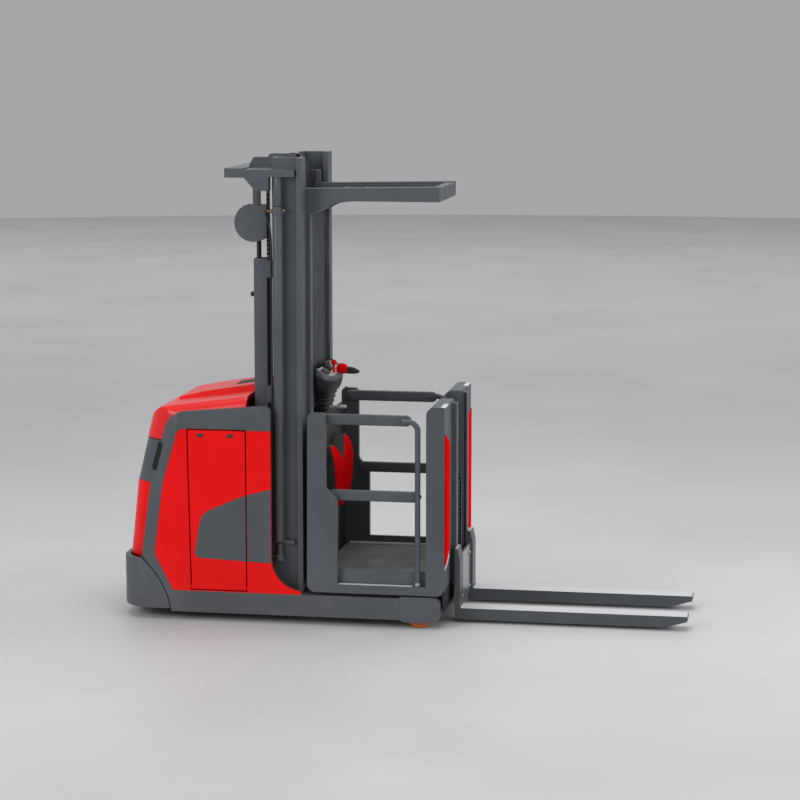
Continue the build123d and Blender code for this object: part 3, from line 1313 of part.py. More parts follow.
def overhead_guard():
    arm_side = outline(
        (UPRIGHT_REAR, GUARD_ROOT_BOTTOM, 0),
        (UPRIGHT_FRONT, GUARD_ROOT_BOTTOM, 0),
        (GUARD_GUSSET_END, GUARD_TIP_BOTTOM, GUARD_GUSSET_ROUND),
        (GUARD_TIP, GUARD_TIP_BOTTOM, GUARD_TIP_ROUND),
        (GUARD_TIP, GUARD_TIP_TOP, GUARD_TIP_ROUND),
        (UPRIGHT_REAR, GUARD_ROOT_TOP, 0),
    )
    arm = side_slab(arm_side, -UPRIGHT_OUTSIDE, -UPRIGHT_OUTSIDE + GUARD_ARM_WIDTH)
    guard = arm + mirror(arm, about=Plane.XZ)
    half = UPRIGHT_OUTSIDE
    guard += block(GUARD_TIP - GUARD_TIP_BAR, GUARD_TIP, -half, half, GUARD_TIP_BOTTOM, GUARD_TIP_TOP - CLEAR)
    guard += block(UPRIGHT_REAR, UPRIGHT_FRONT, -half, half, GUARD_ROOT_BOTTOM, GUARD_TIP_BOTTOM)
    pitch = (GUARD_TIP - GUARD_TIP_BAR - UPRIGHT_FRONT) / (GUARD_SLATS + 1)
    for number in range(1, GUARD_SLATS + 1):
        rear = UPRIGHT_FRONT + pitch * number - GUARD_SLAT_WIDTH / 2
        guard += block(
            rear,
            rear + GUARD_SLAT_WIDTH,
            -UPRIGHT_OUTSIDE + GUARD_ARM_WIDTH / 2,
            UPRIGHT_OUTSIDE - GUARD_ARM_WIDTH / 2,
            GUARD_TIP_BOTTOM + CLEAR,
            GUARD_TIP_BOTTOM + CLEAR + GUARD_SLAT_HEIGHT,
        )
    return [guard]


def console():
    rear = CABIN_REAR
    front = rear + CONSOLE_DEPTH
    neck_side = outline(
        (rear, REAR_WALL_TOP, 0),
        (rear + REAR_WALL_DEPTH, REAR_WALL_TOP, 0),
        (front - 2 * CONSOLE_WALL, CONSOLE_BOTTOM, 0),
        (rear, CONSOLE_BOTTOM, 0),
    )
    neck_rows = [
        (-NECK_FOOT_HALF_WIDTH, REAR_WALL_TOP, 0),
        (NECK_FOOT_HALF_WIDTH, REAR_WALL_TOP, 0),
        (NECK_HALF_WIDTH, CONSOLE_BOTTOM, 0),
        (-NECK_HALF_WIDTH, CONSOLE_BOTTOM, 0),
    ]
    neck = side_slab(neck_side, -NECK_HALF_WIDTH, NECK_HALF_WIDTH) & front_slab(neck_rows, rear, front)
    bowl_side = outline(
        (rear, CONSOLE_BOTTOM, 0),
        (front - CONSOLE_WALL, CONSOLE_BOTTOM, 2 * CONSOLE_WALL),
        (front, CONSOLE_TOP - 3 * CONSOLE_WALL, CONSOLE_WALL),
        (rear, CONSOLE_TOP, 0),
    )
    plan = outline(
        (rear, -CONSOLE_HALF_WIDTH, 0),
        (front, -CONSOLE_HALF_WIDTH, CONSOLE_CORNER),
        (front, CONSOLE_HALF_WIDTH, CONSOLE_CORNER),
        (rear, CONSOLE_HALF_WIDTH, 0),
    )
    bowl = side_slab(bowl_side, -CONSOLE_HALF_WIDTH, CONSOLE_HALF_WIDTH)
    bowl &= plan_slab(plan, CONSOLE_BOTTOM, CONSOLE_TOP)
    socket_end = front - 2 * CONSOLE_WALL
    socket = long_rod(GRIP_SIDE, GRIP_HEIGHT, GRIP_RADIUS + RUNNING_GAP, socket_end, front + CONSOLE_WALL)
    knob_foot = CONSOLE_TOP - KNOB_SOCKET_DROP
    knob_hole = upright_rod(rear + KNOB_REACH, 0, KNOB_STALK_RADIUS + RUNNING_GAP, knob_foot, CONSOLE_TOP)
    return [neck + bowl - socket - knob_hole]


def console_controls():
    front = CABIN_REAR + CONSOLE_DEPTH
    grip = long_rod(GRIP_SIDE, GRIP_HEIGHT, GRIP_RADIUS, front - 2 * CONSOLE_WALL, front + GRIP_LENGTH)
    station = CABIN_REAR + KNOB_REACH
    knob_foot = CONSOLE_TOP - KNOB_SOCKET_DROP
    knob_height = CONSOLE_TOP - KNOB_DROP
    stalk = upright_rod(station, 0, KNOB_STALK_RADIUS, knob_foot, knob_height)
    return [grip, stalk + Pos(at(station), 0, knob_height) * Sphere(KNOB_RADIUS)]


# Side gates

def gate_bar(side, pivot, height):
    half = GATE_BAR_HEIGHT / 2
    rows = [
        (pivot - half, height - half, GATE_BAR_ROUND),
        (pivot + GATE_LINK + half, height - half, GATE_BAR_ROUND),
        (pivot + GATE_LINK + half, height + half, GATE_BAR_ROUND),
        (pivot - half, height + half, GATE_BAR_ROUND),
    ]
    low = -GATE_BAR_SIDE - GATE_BAR_THICKNESS / 2
    bar = side_slab(outline(*rows), low, low + GATE_BAR_THICKNESS)
    for station in (pivot, pivot + GATE_LINK):
        bar -= cross_rod(station, height, GATE_PIN_RADIUS + RUNNING_GAP, low, low + GATE_BAR_THICKNESS)
    return [bar if side < 0 else mirror(bar, about=Plane.XZ)]


def gate_upper_bar(side):
    return gate_bar(side, GATE_UPPER_PIVOT, GATE_UPPER_HEIGHT)


def gate_lower_bar(side):
    return gate_bar(side, GATE_LOWER_PIVOT, GATE_LOWER_HEIGHT)


def gate_tube(side):
    tube_station = GATE_LOWER_PIVOT + GATE_LINK
    stub_station = GATE_UPPER_PIVOT + GATE_LINK
    y = -GATE_TUBE_SIDE
    rear_end = (at(stub_station - GATE_TUBE_RADIUS), y, GATE_UPPER_HEIGHT)
    corner = (at(tube_station), y, GATE_UPPER_HEIGHT)
    foot = (at(tube_station), y, SILL_TOP + RUNNING_GAP)
    path = FilletPolyline(rear_end, corner, foot, radius=GATE_TUBE_BEND)
    tube = sweep(Plane(origin=rear_end, z_dir=(1, 0, 0)) * Circle(GATE_TUBE_RADIUS), path=path)
    pin_end = -GATE_BAR_SIDE + GATE_BAR_THICKNESS / 2
    for station, height in ((stub_station, GATE_UPPER_HEIGHT), (tube_station, GATE_LOWER_HEIGHT)):
        tube += cross_rod(station, height, GATE_PIN_RADIUS, y, pin_end)
    return [tube if side < 0 else mirror(tube, about=Plane.XZ)]


# Fork mast and forks

def fork_mast():
    rear = CABIN_FRONT
    front = rear + FORK_POST_DEPTH
    post = block(rear, front, -FORK_POST_OUTSIDE, -FORK_POST_INSIDE, FORK_POST_BOTTOM, FORK_POST_TOP)
    groove_rear = rear + FORK_GROOVE_OFFSET
    groove = block(
        groove_rear,
        groove_rear + FORK_GROOVE_WIDTH,
        -FORK_POST_INSIDE - FORK_GROOVE_DEPTH,
        -FORK_POST_INSIDE,
        FORK_POST_BOTTOM,
        FORK_POST_TOP,
    )
    return pair(post - groove)


def fork_cylinder():
    barrel = upright_rod(FORK_CYLINDER_STATION, 0, FORK_CYLINDER_RADIUS, SILL_TOP, FORK_CYLINDER_TOP)
    bore = upright_rod(
        FORK_CYLINDER_STATION, 0, FORK_ROD_RADIUS + RUNNING_GAP, SILL_TOP + 2 * CLEAR, FORK_CYLINDER_TOP
    )
    return [barrel - bore]


def fork_rod():
    rod_top = FORK_SHEAVE_HEIGHT - FORK_SHEAVE_RADIUS / 2
    rod = upright_rod(FORK_CYLINDER_STATION, 0, FORK_ROD_RADIUS, SILL_TOP + 3 * CLEAR, rod_top)
    half = FORK_CHAIN_WIDTH / 2
    sheave = cross_rod(FORK_CYLINDER_STATION, FORK_SHEAVE_HEIGHT, FORK_SHEAVE_RADIUS, -half, half)
    return [rod + sheave]


def fork_chain():
    return [
        chain_loop(
            FORK_CYLINDER_STATION,
            FORK_SHEAVE_HEIGHT,
            FORK_SHEAVE_RADIUS,
            FORK_CHAIN_THICKNESS,
            FORK_CHAIN_WIDTH,
            0,
            FORK_CHAIN_END,
            FORK_CHAIN_BOTTOM,
        )
    ]


def fork_carriage_plate():
    shank_rear = FORK_FACE - SHANK_DEPTH
    inside = FORK_OUTSIDE - FORK_WIDTH
    plate_front = shank_rear + CARRIAGE_PLATE_DEPTH
    plate = block(shank_rear, plate_front, -inside, inside, CARRIAGE_PLATE_BOTTOM, CARRIAGE_PLATE_TOP)
    groove_rear = CABIN_FRONT + FORK_GROOVE_OFFSET
    shoe = block(
        groove_rear + RUNNING_GAP,
        groove_rear + FORK_GROOVE_WIDTH - RUNNING_GAP,
        -FORK_POST_INSIDE - FORK_GROOVE_DEPTH + RUNNING_GAP,
        -FORK_POST_INSIDE + 2 * CLEAR,
        SHOE_BOTTOM,
        SHOE_BOTTOM + SHOE_HEIGHT,
    )
    shoe += block(
        groove_rear + RUNNING_GAP,
        shank_rear,
        -FORK_POST_INSIDE + CLEAR,
        -FORK_POST_INSIDE + 2 * CLEAR,
        SHOE_BOTTOM,
        SHOE_BOTTOM + SHOE_HEIGHT,
    )
    for part in pair(shoe):
        plate += part
    return [plate]


def forks():
    shank_rear = FORK_FACE - SHANK_DEPTH
    tip = FORK_FACE + FORK_LENGTH
    side = outline(
        (shank_rear, FORK_BOTTOM, 0),
        (tip - FORK_TAPER, FORK_BOTTOM, FORK_TAPER_ROUND),
        (tip, FORK_TOP - FORK_TIP_THICKNESS, FORK_TIP_ROUND),
        (tip, FORK_TOP, FORK_TIP_ROUND),
        (FORK_FACE, FORK_TOP, FORK_HEEL_ROUND),
        (FORK_FACE, CARRIAGE_PLATE_TOP, 0),
        (FORK_FACE - SHANK_DEPTH / 2, SHANK_TOP, 0),
        (shank_rear, SHANK_TOP, 0),
    )
    return pair(side_slab(side, -FORK_OUTSIDE, -FORK_OUTSIDE + FORK_WIDTH))


NODES = {
    "chassis_beams": chassis_beams(),
    "chassis_tray": chassis_tray(),
    "drive_plate": drive_plate(),
    "load_wheel_housings": load_wheel_housings(),
    "rear_bumper": rear_bumper(),
    "side_frames": side_frames(),
    "side_panels": side_panels(),
    "side_inlays": side_inlays(),
    "rear_panel": rear_panel(),
    "rear_band": rear_band(),
    "battery": battery(),
    "hood": hood(),
    "battery_door_right": battery_door(-1),
    "battery_door_left": battery_door(1),
    "door_inlay_right": door_inlay(-1),
    "door_inlay_left": door_inlay(1),
    "drive_unit": drive_unit(),
    "drive_wheel": drive_wheel(),
    "load_wheel_right": load_wheel(-1),
    "load_wheel_left": load_wheel(1),
    "outer_mast": outer_mast(),
    "mast_crossbars": mast_crossbars(),
    "lift_cylinders": lift_cylinders(),
    "hose_duct": hose_duct(),
    "inner_mast": inner_mast(),
    "mast_head": mast_head(),
    "piston_rods": piston_rods(),
    "chain_sheaves": chain_sheaves(),
    "lift_chains": lift_chains(),
    "hose_pulley": hose_pulley(),
    "hoses": hoses(),
    "platform": platform(),
    "floor_mat": floor_mat(),
    "cabin_posts": cabin_posts(),
    "front_wall": front_wall(),
    "front_inserts": front_inserts(),
    "rear_wall": rear_wall(),
    "knee_pads": knee_pads(),
    "cabin_carriage": cabin_carriage(),
    "mast_screen": mast_screen(),
    "overhead_guard": overhead_guard(),
    "console": console(),
    "console_controls": console_controls(),
    "fork_mast": fork_mast(),
    "fork_cylinder": fork_cylinder(),
    "fork_rod": fork_rod(),
    "fork_chain": fork_chain(),
    "fork_carriage_plate": fork_carriage_plate(),
    "forks": forks(),
}
for side_name, side_sign in (("right", -1), ("left", 1)):
    NODES[f"gate_upper_bar_{side_name}"] = gate_upper_bar(side_sign)
    NODES[f"gate_lower_bar_{side_name}"] = gate_lower_bar(side_sign)
    NODES[f"gate_tube_{side_name}"] = gate_tube(side_sign)

os.makedirs("parts", exist_ok=True)
for name, shapes in NODES.items():
    solids = [solid for shape in shapes for solid in shape.solids()]
    export_step(Compound(solids), f"parts/{name}.step")
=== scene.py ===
import json
import math
import bmesh
import bpy
from mathutils import Matrix, Vector


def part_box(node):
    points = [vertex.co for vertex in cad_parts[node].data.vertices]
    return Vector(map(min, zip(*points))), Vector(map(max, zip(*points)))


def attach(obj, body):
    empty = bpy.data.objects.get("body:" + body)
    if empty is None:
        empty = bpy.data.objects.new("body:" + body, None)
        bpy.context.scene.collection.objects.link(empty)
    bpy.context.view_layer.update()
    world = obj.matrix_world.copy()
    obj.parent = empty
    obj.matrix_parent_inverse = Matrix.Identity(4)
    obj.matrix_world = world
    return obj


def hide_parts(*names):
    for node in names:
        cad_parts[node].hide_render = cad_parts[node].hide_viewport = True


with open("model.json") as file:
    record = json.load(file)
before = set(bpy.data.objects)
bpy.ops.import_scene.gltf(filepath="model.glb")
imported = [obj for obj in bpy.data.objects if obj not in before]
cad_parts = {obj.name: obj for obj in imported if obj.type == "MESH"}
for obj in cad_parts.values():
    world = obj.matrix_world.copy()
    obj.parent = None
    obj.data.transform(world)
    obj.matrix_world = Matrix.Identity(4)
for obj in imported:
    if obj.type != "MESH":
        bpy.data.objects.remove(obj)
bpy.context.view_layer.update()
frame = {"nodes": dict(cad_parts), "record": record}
nodes = frame["nodes"]

# Order picker. Places are given in millimetres: a station counted forwards from the rear of the body,
# a distance across, below zero on the right side, and a height. The model itself is in metres.
MM = 1000
HALF_LENGTH = 1.5405
SIDES = ((-1, "right"), (1, "left"))
OUTWARD = {-1: "-Y", 1: "Y"}
INWARD = {-1: "Y", 1: "-Y"}


# Materials

def linear(code):
    """Linear colour of an sRGB hex code."""
    parts = [int(code[i:i + 2], 16) / 255 for i in (1, 3, 5)]
    return [c / 12.92 if c <= 0.04045 else ((c + 0.055) / 1.055) ** 2.4 for c in parts] + [1.0]


def per_metre(size):
    """Scale of a noise or cell pattern whose marks have a size in millimetres."""
    return MM / size


def waves(pitch):
    """Scale of a wave pattern with a pitch in millimetres."""
    return math.pi * MM / (10 * pitch)


def set_inputs(tree, node, **inputs):
    """Sets a node's inputs, and links those given as sockets."""
    for key, value in inputs.items():
        socket = node.inputs[key.replace("_", " ")]
        if isinstance(value, bpy.types.NodeSocket):
            tree.links.new(value, socket)
        else:
            socket.default_value = value


def add(tree, kind, settings=None, feeds=(), stops=(), **inputs):
    """Adds a node with its properties, its links in order, its rows of (place, hex colour) and its inputs."""
    node = tree.nodes.new("ShaderNode" + kind)
    for key, value in (settings or {}).items():
        setattr(node, key, value)
    for number, feed in enumerate(feeds):
        tree.links.new(feed, node.inputs[number])
    for number, (place, code) in enumerate(stops):
        node.color_ramp.elements[number].position = place
        node.color_ramp.elements[number].color = linear(code)
    set_inputs(tree, node, **inputs)
    return node


def start(name):
    """A new material with its tree, its shader and its object coordinates."""
    made = bpy.data.materials.new(name)
    made.use_nodes = True
    tree = made.node_tree
    shader = tree.nodes["Principled BSDF"]
    place = add(tree, "TexCoord").outputs["Object"]
    return made, tree, shader, place


# Sizes of marks in millimetres. Peel and pebbling keep about their real sizes; the grain of metals, tyres
# and treads is drawn coarser than real, or it would not show.
PAINT_DRIFT = 333.3333
DUST_PATCH = 111.1111
SCUFF = 71.4286
MOULD_DRIFT = 166.6667
POWDER_PEEL = 2.38095
ENAMEL_PEEL = 3.33333
TROUGH_PEEL = 2.85714
RED_PEBBLE = 1.42857
FINE_PEBBLE = 1.11111
RUBBER_PEBBLE = 2.0
TYRE_PEBBLE = 3.84615
TREAD_PEBBLE = 6.25
CAST_GRAIN = 4.54545
CHROME_LINE = 16.6667
PLATING_GRAIN = 5.55556
FORK_RUB = 166.6667
OIL_PATCH = 25.0
LINK_PITCH = 24.93328
PLATE_PITCH = 4.98666
FINE_RIB_PITCH = 12.08305
MAT_WEAR = 200.0
FLOOR_CLOUD = 1666.6667


def painted(name, low, high, roughness, peel, shine=0.5, dust=None, texture=0.25):
    """Sprayed paint: slow drift of tone, fine orange peel, duller patches, dust settling near the floor."""
    made, tree, shader, place = start(name)
    drift = add(tree, "TexNoise", Vector=place, Scale=per_metre(PAINT_DRIFT), Detail=4.0).outputs["Fac"]
    colour = add(tree, "ValToRGB", stops=((0.3, low), (0.7, high)), Fac=drift).outputs["Color"]
    if dust:
        height = add(tree, "SeparateXYZ", Vector=place).outputs["Z"]
        settled = add(tree, "MapRange", Value=height, From_Min=0.02, From_Max=0.55, To_Min=0.22, To_Max=0.0)
        patchy = add(tree, "TexNoise", Vector=place, Scale=per_metre(DUST_PATCH), Detail=6.0).outputs["Fac"]
        product = add(tree, "Math", {"operation": "MULTIPLY"}, (settled.outputs["Result"], patchy))
        share = product.outputs["Value"]
        mixed = add(tree, "Mix", {"data_type": "RGBA"}, Factor=share, A=colour, B=linear(dust))
        colour = mixed.outputs["Result"]
    scuff = add(tree, "TexNoise", Vector=place, Scale=per_metre(SCUFF), Detail=8.0, Roughness=0.6)
    sheen = add(tree, "MapRange", Value=scuff.outputs["Fac"], From_Min=0.3, From_Max=0.75,
                To_Min=roughness - 0.06, To_Max=roughness + 0.1).outputs["Result"]
    grain = add(tree, "TexNoise", Vector=place, Scale=per_metre(peel), Detail=2.0).outputs["Fac"]
    dents = add(tree, "Bump", Height=grain, Distance=0.0004, Strength=texture).outputs["Normal"]
    set_inputs(tree, shader, Base_Color=colour, Roughness=sheen, Specular_IOR_Level=shine, Normal=dents)
    return made


def metal(name, low, high, roughness, grain, stretch=(1.0, 1.0, 1.0)):
    """Bare metal with fine marks drawn out along one direction."""
    made, tree, shader, place = start(name)
    drawn = add(tree, "Mapping", Vector=place, Scale=stretch).outputs["Vector"]
    marks = add(tree, "TexNoise", Vector=drawn, Scale=per_metre(grain), Detail=6.0).outputs["Fac"]
    colour = add(tree, "ValToRGB", stops=((0.3, low), (0.7, high)), Fac=marks).outputs["Color"]
    rough = add(tree, "MapRange", Value=marks, From_Min=0.3, From_Max=0.7,
                To_Min=roughness - 0.08, To_Max=roughness + 0.12).outputs["Result"]
    dents = add(tree, "Bump", Height=marks, Distance=0.0003, Strength=0.2).outputs["Normal"]
    set_inputs(tree, shader, Base_Color=colour, Roughness=rough, Metallic=1.0, Normal=dents)
    return made


def moulded(name, low, high, roughness, grain, depth, shine=0.5):
    """Moulded plastic or rubber with a pebbled grain."""
    made, tree, shader, place = start(name)
    drift = add(tree, "TexNoise", Vector=place, Scale=per_metre(MOULD_DRIFT), Detail=4.0).outputs["Fac"]
    colour = add(tree, "ValToRGB", stops=((0.3, low), (0.7, high)), Fac=drift).outputs["Color"]
    cells = add(tree, "TexVoronoi", Vector=place, Scale=per_metre(grain)).outputs["Distance"]
    rough = add(tree, "MapRange", Value=cells, To_Min=roughness - 0.05, To_Max=roughness + 0.08)
    dents = add(tree, "Bump", Height=cells, Distance=depth, Strength=0.4).outputs["Normal"]
    set_inputs(tree, shader, Base_Color=colour, Roughness=rough.outputs["Result"],
               Specular_IOR_Level=shine, Normal=dents)
    return made


# Satin slate-grey powder coat of frame, mast and cabin: a soft broad shine, dustier near the floor
graphite = painted("slate_powder_coat", "#494d52", "#53575c", 0.44, POWDER_PEEL, 0.4, "#7d7b78")
# Darker matt copy of the slate coat on the panel between mast and cabin: painted shade of the gap there,
# without highlights
screen_shade_coat = painted("screen_painted_shade_coat", "#33363a", "#3b3e42", 0.55, POWDER_PEEL, 0.25)
# Signal red enamel of doors and panels: a strong even red that mirrors little
red = painted("red_enamel", "#ec090c", "#f40e10", 0.34, ENAMEL_PEEL, 0.16, "#b03026")
# Red moulded plastic of knee pads, knob and grip: full red, without a pale glare at flat angles
red_plastic = moulded("red_moulded_plastic", "#dc0c10", "#e81114", 0.4, RED_PEBBLE, 0.0002, 0.0)
# Polished red enamel of the hood: its top mirrors the sky
red_gloss = painted("red_gloss_enamel", "#e4090d", "#ee0f12", 0.32, ENAMEL_PEEL, 0.6, None, 0.03)
# Matt red plastic strips of the front columns: an even red
red_strip = moulded("red_strip_plastic", "#e4080c", "#ee0e10", 0.6, RED_PEBBLE, 0.0002, 0.0)
# Grained black plastic of wall, console and latches: dark with a soft sheen
black_plastic = moulded("black_grained_plastic", "#1b1c1e", "#242527", 0.55, FINE_PEBBLE, 0.0003)
# Pale grey plastic of the console's tray, switches and lever: light patches among the black
pale_plastic = moulded("pale_grey_plastic", "#9b9ea1", "#abaeb0", 0.42, FINE_PEBBLE, 0.0002)
# Black rubber of hoses and pipes: duller and darker than the plastic
rubber = moulded("hose_rubber", "#151516", "#1d1d1e", 0.62, RUBBER_PEBBLE, 0.0003)
# Solid rubber of the drive tyre: dusty, nearly without shine
tyre_rubber = moulded("solid_tyre_rubber", "#222222", "#2b2a29", 0.75, TYRE_PEBBLE, 0.0006)
# Cast polyurethane of the load wheels: smooth dull orange
polyurethane = moulded("cast_polyurethane", "#a8531a", "#bd6422", 0.4, TREAD_PEBBLE, 0.0003, 0.4)
# Black paint of the battery: dark with a low shine
trough = painted("battery_trough_paint", "#1c1d1f", "#242628", 0.5, TROUGH_PEEL)
# Cast aluminium of the drive motor and the hubs: grey and rough
casting = metal("cast_aluminium", "#6b6d70", "#85878a", 0.55, CAST_GRAIN)
# Hard chrome of the fork rod: mirror-like, lined along its length
chrome = metal("hard_chrome", "#c4c6c9", "#d6d8da", 0.16, CHROME_LINE, (8.0, 8.0, 0.4))
# Zinc plate of bolts, pins, collars and fork carriage: pale metal with soft reflections
zinc = metal("zinc_plated_steel", "#a4a6a8", "#bdbfc1", 0.32, PLATING_GRAIN)
# Pale non-metal grey of the trim strips and column tips: a painted highlight of edges that catch light, pale
# from any side
highlight_trim = moulded("highlight_trim_paint", "#c9cbcd", "#d8dadb", 0.34, RUBBER_PEBBLE, 0.0001)
# Yellow passivated steel of unions and motor studs: a copper tint
brass = metal("yellow_passivated_steel", "#8d7152", "#ab8d6a", 0.35, PLATING_GRAIN)


def worn_forks():
    """Slate-grey paint that pallets have rubbed to bright steel on the upward faces."""
    made, tree, shader, place = start("worn_fork_steel")
    normal = add(tree, "TexCoord").outputs["Normal"]
    up = add(tree, "SeparateXYZ", Vector=normal).outputs["Z"]
    drawn = add(tree, "Mapping", Vector=place, Scale=(1.5, 30.0, 30.0)).outputs["Vector"]
    marks = add(tree, "TexNoise", Vector=drawn, Scale=per_metre(FORK_RUB), Detail=8.0).outputs["Fac"]
    rub = add(tree, "MapRange", Value=marks, From_Min=0.2, From_Max=0.5, To_Min=0.75, To_Max=1.0)
    top = add(tree, "MapRange", Value=up, From_Min=0.6, From_Max=0.95)
    product = add(tree, "Math", {"operation": "MULTIPLY"}, (rub.outputs["Result"], top.outputs["Result"]))
    worn = product.outputs["Value"]
    colour = add(tree, "ValToRGB", stops=((0.1, "#494d51"), (0.9, "#cdcfd1")), Fac=worn).outputs["Color"]
    bright = add(tree, "MapRange", Value=worn, To_Min=0.0, To_Max=0.25).outputs["Result"]
    rough = add(tree, "MapRange", Value=marks, To_Min=0.3, To_Max=0.5).outputs["Result"]
    dents = add(tree, "Bump", Height=marks, Distance=0.0003, Strength=0.2).outputs["Normal"]
    set_inputs(tree, shader, Base_Color=colour, Metallic=bright, Roughness=rough, Normal=dents)
    return made


def leaf_chain():
    """Oiled leaf chain of plates side by side along the run: dark oiled steel, with painted shade in the gaps
    between links and plates and a painted highlight on their crowns.
    """
    made, tree, shader, place = start("oiled_leaf_chain")
    along = add(tree, "TexWave", {"bands_direction": "Z"}, Vector=place,
                Scale=waves(LINK_PITCH), Distortion=0.0)
    beside = add(tree, "TexWave", {"bands_direction": "Y"}, Vector=place,
                 Scale=waves(PLATE_PITCH), Distortion=0.0)
    links = add(tree, "Math", {"operation": "MULTIPLY"}, (along.outputs["Fac"], beside.outputs["Fac"]))
    depth = links.outputs["Value"]
    # Dark where the relief is deep and pale on the crowns: painted shade and painted highlight
    colour = add(tree, "ValToRGB", stops=((0.1, "#232221"), (0.6, "#77746f")), Fac=depth).outputs["Color"]
    oil = add(tree, "TexNoise", Vector=place, Scale=per_metre(OIL_PATCH), Detail=4.0).outputs["Fac"]
    rough = add(tree, "MapRange", Value=oil, To_Min=0.28, To_Max=0.5).outputs["Result"]
    dents = add(tree, "Bump", Height=depth, Distance=0.003, Strength=0.8).outputs["Normal"]
    set_inputs(tree, shader, Base_Color=colour, Roughness=rough, Metallic=0.9, Normal=dents)
    return made


def ribbed_mat():
    """Worn grey floor rubber with fine ribs along the machine."""
    made, tree, shader, place = start("ribbed_floor_rubber")
    ribs = add(tree, "TexWave", {"bands_direction": "Y"}, Vector=place,
               Scale=waves(FINE_RIB_PITCH), Distortion=0.0)
    worn = add(tree, "TexNoise", Vector=place, Scale=per_metre(MAT_WEAR), Detail=6.0).outputs["Fac"]
    colour = add(tree, "ValToRGB", stops=((0.3, "#54575a"), (0.7, "#707376")), Fac=worn).outputs["Color"]
    rough = add(tree, "MapRange", Value=worn, To_Min=0.42, To_Max=0.65).outputs["Result"]
    dents = add(tree, "Bump", Height=ribs.outputs["Fac"], Distance=0.002, Strength=0.6).outputs["Normal"]
    set_inputs(tree, shader, Base_Color=colour, Roughness=rough, Normal=dents)
    return made


fork_steel = worn_forks()
chain_steel = leaf_chain()
mat_rubber = ribbed_mat()

# Finish of each slot in the record, then of the nodes that differ from their slot
FINISH = {
    "red_paint": red,
    "red_moulding": red_plastic,
    "black_moulding": black_plastic,
    "red_grip": red_plastic,
    "black_rubber": rubber,
    "battery_case": trough,
    "motor_casting": casting,
    "drive_tyre": tyre_rubber,
    "orange_polyurethane": polyurethane,
    "bright_rod": chrome,
    "oiled_steel": chain_steel,
    "graphite_paint": graphite,
}
NODE_FINISH = {
    "forks": fork_steel,
    "floor_mat": mat_rubber,
    "piston_rods": graphite,
    "front_inserts": red_strip,
    "hood": red_gloss,
    "fork_carriage_plate": zinc,
    # The panel between mast and cabin takes the darker copy of the coat: painted shade
    "mast_screen": screen_shade_coat,
}
for row in frame["record"]["subparts"]:
    cad = nodes[row["node"]]
    cad.data.materials.clear()
    cad.data.materials.append(NODE_FINISH.get(row["node"], FINISH[row["material_slot"]]))

# Edges of the pressed and welded parts are broken by a small round, wider on the castings and columns.
BROAD_EDGES = ("front_wall", "rear_bumper", "load_wheel_housings", "overhead_guard")
for name, cad in nodes.items():
    weld = cad.modifiers.new("weld", "WELD")
    weld.merge_threshold = 0.00002
    edge = cad.modifiers.new("edge", "BEVEL")
    edge.width = 0.005 if name in BROAD_EDGES else 0.002
    edge.segments = 2
    edge.limit_method = "ANGLE"
    edge.angle_limit = math.radians(40)
    edge.harden_normals = False


# Modelling

def spot(station, across, height):
    """A place in millimetres as a point of the model."""
    return (station / MM - HALF_LENGTH, across / MM, height / MM)


def place_of(point):
    """A point of the model as a place in millimetres."""
    return (point[0] * MM + MM * HALF_LENGTH, point[1] * MM, point[2] * MM)


def clear_selection():
    bpy.ops.object.select_all(action="DESELECT")


def finish_piece(name, finish, body, angle=35):
    """Names the piece in hand, fixes its place in its mesh, smooths it and hangs it on its body."""
    piece = bpy.context.object
    piece.name = name
    bpy.ops.object.transform_apply(location=True, rotation=True, scale=True)
    bpy.ops.object.shade_smooth_by_angle(angle=math.radians(angle))
    piece.data.materials.clear()
    piece.data.materials.append(finish)
    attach(piece, body)
    return piece


def softened(piece, levels):
    """Rounds a piece with a subdivision surface, applied to its mesh."""
    clear_selection()
    piece.select_set(True)
    bpy.context.view_layer.objects.active = piece
    soft = piece.modifiers.new("soft", "SUBSURF")
    soft.levels = levels
    soft.render_levels = levels
    bpy.ops.object.modifier_apply(modifier="soft")


def pick_edges(test):
    """Selects the edges of the mesh in edit mode that pass a test."""
    mesh = bmesh.from_edit_mesh(bpy.context.object.data)
    mesh.select_mode = {"EDGE"}
    bpy.ops.mesh.select_mode(type="EDGE")
    for edge in mesh.edges:
        edge.select = test(edge)
    mesh.select_flush_mode()
    bmesh.update_edit_mesh(bpy.context.object.data)


def cross_edge(edge):
    """Whether an edge runs across the machine."""
    return abs((edge.verts[0].co - edge.verts[1].co).normalized().y) > 0.9


def rim_edge(edge):
    """Whether an edge parts a face across the machine from one that isn't."""
    across = [abs(face.normal.y) > 0.9 for face in edge.link_faces]
    return len(across) == 2 and across[0] != across[1]


def started_block(low, high):
    """Adds a block between two corners and opens it for shaping."""
    clear_selection()
    middle = [(a + b) / 2 for a, b in zip(low, high)]
    bpy.ops.mesh.primitive_cube_add(size=1.0, location=spot(*middle))
    bpy.context.object.scale = [(b - a) / MM for a, b in zip(low, high)]
    bpy.ops.object.transform_apply(location=False, rotation=False, scale=True)
    bpy.ops.object.mode_set(mode="EDIT")


def rounded_block(name, low, high, edge, finish, body, turn=0.0, segments=3):
    """A block between two corners, all edges rounded, turned about the cross axis."""
    started_block(low, high)
    bpy.ops.mesh.select_all(action="SELECT")
    bpy.ops.mesh.bevel(offset=edge / MM, segments=segments, affect="EDGES")
    bpy.ops.object.mode_set(mode="OBJECT")
    bpy.context.object.rotation_euler = (0.0, turn, 0.0)
    return finish_piece(name, finish, body)


RAIL_CORNER = 28
RAIL_EDGE = 9


def gate_rail(name, low, high, finish, body):
    """A flat oval rail: round ends in side view, then softened all along its rims."""
    started_block(low, high)
    pick_edges(cross_edge)
    bpy.ops.mesh.bevel(offset=RAIL_CORNER / MM, segments=8, affect="EDGES")
    pick_edges(rim_edge)
    bpy.ops.mesh.bevel(offset=RAIL_EDGE / MM, segments=5, affect="EDGES")
    bpy.ops.object.mode_set(mode="OBJECT")
    return finish_piece(name, finish, body)


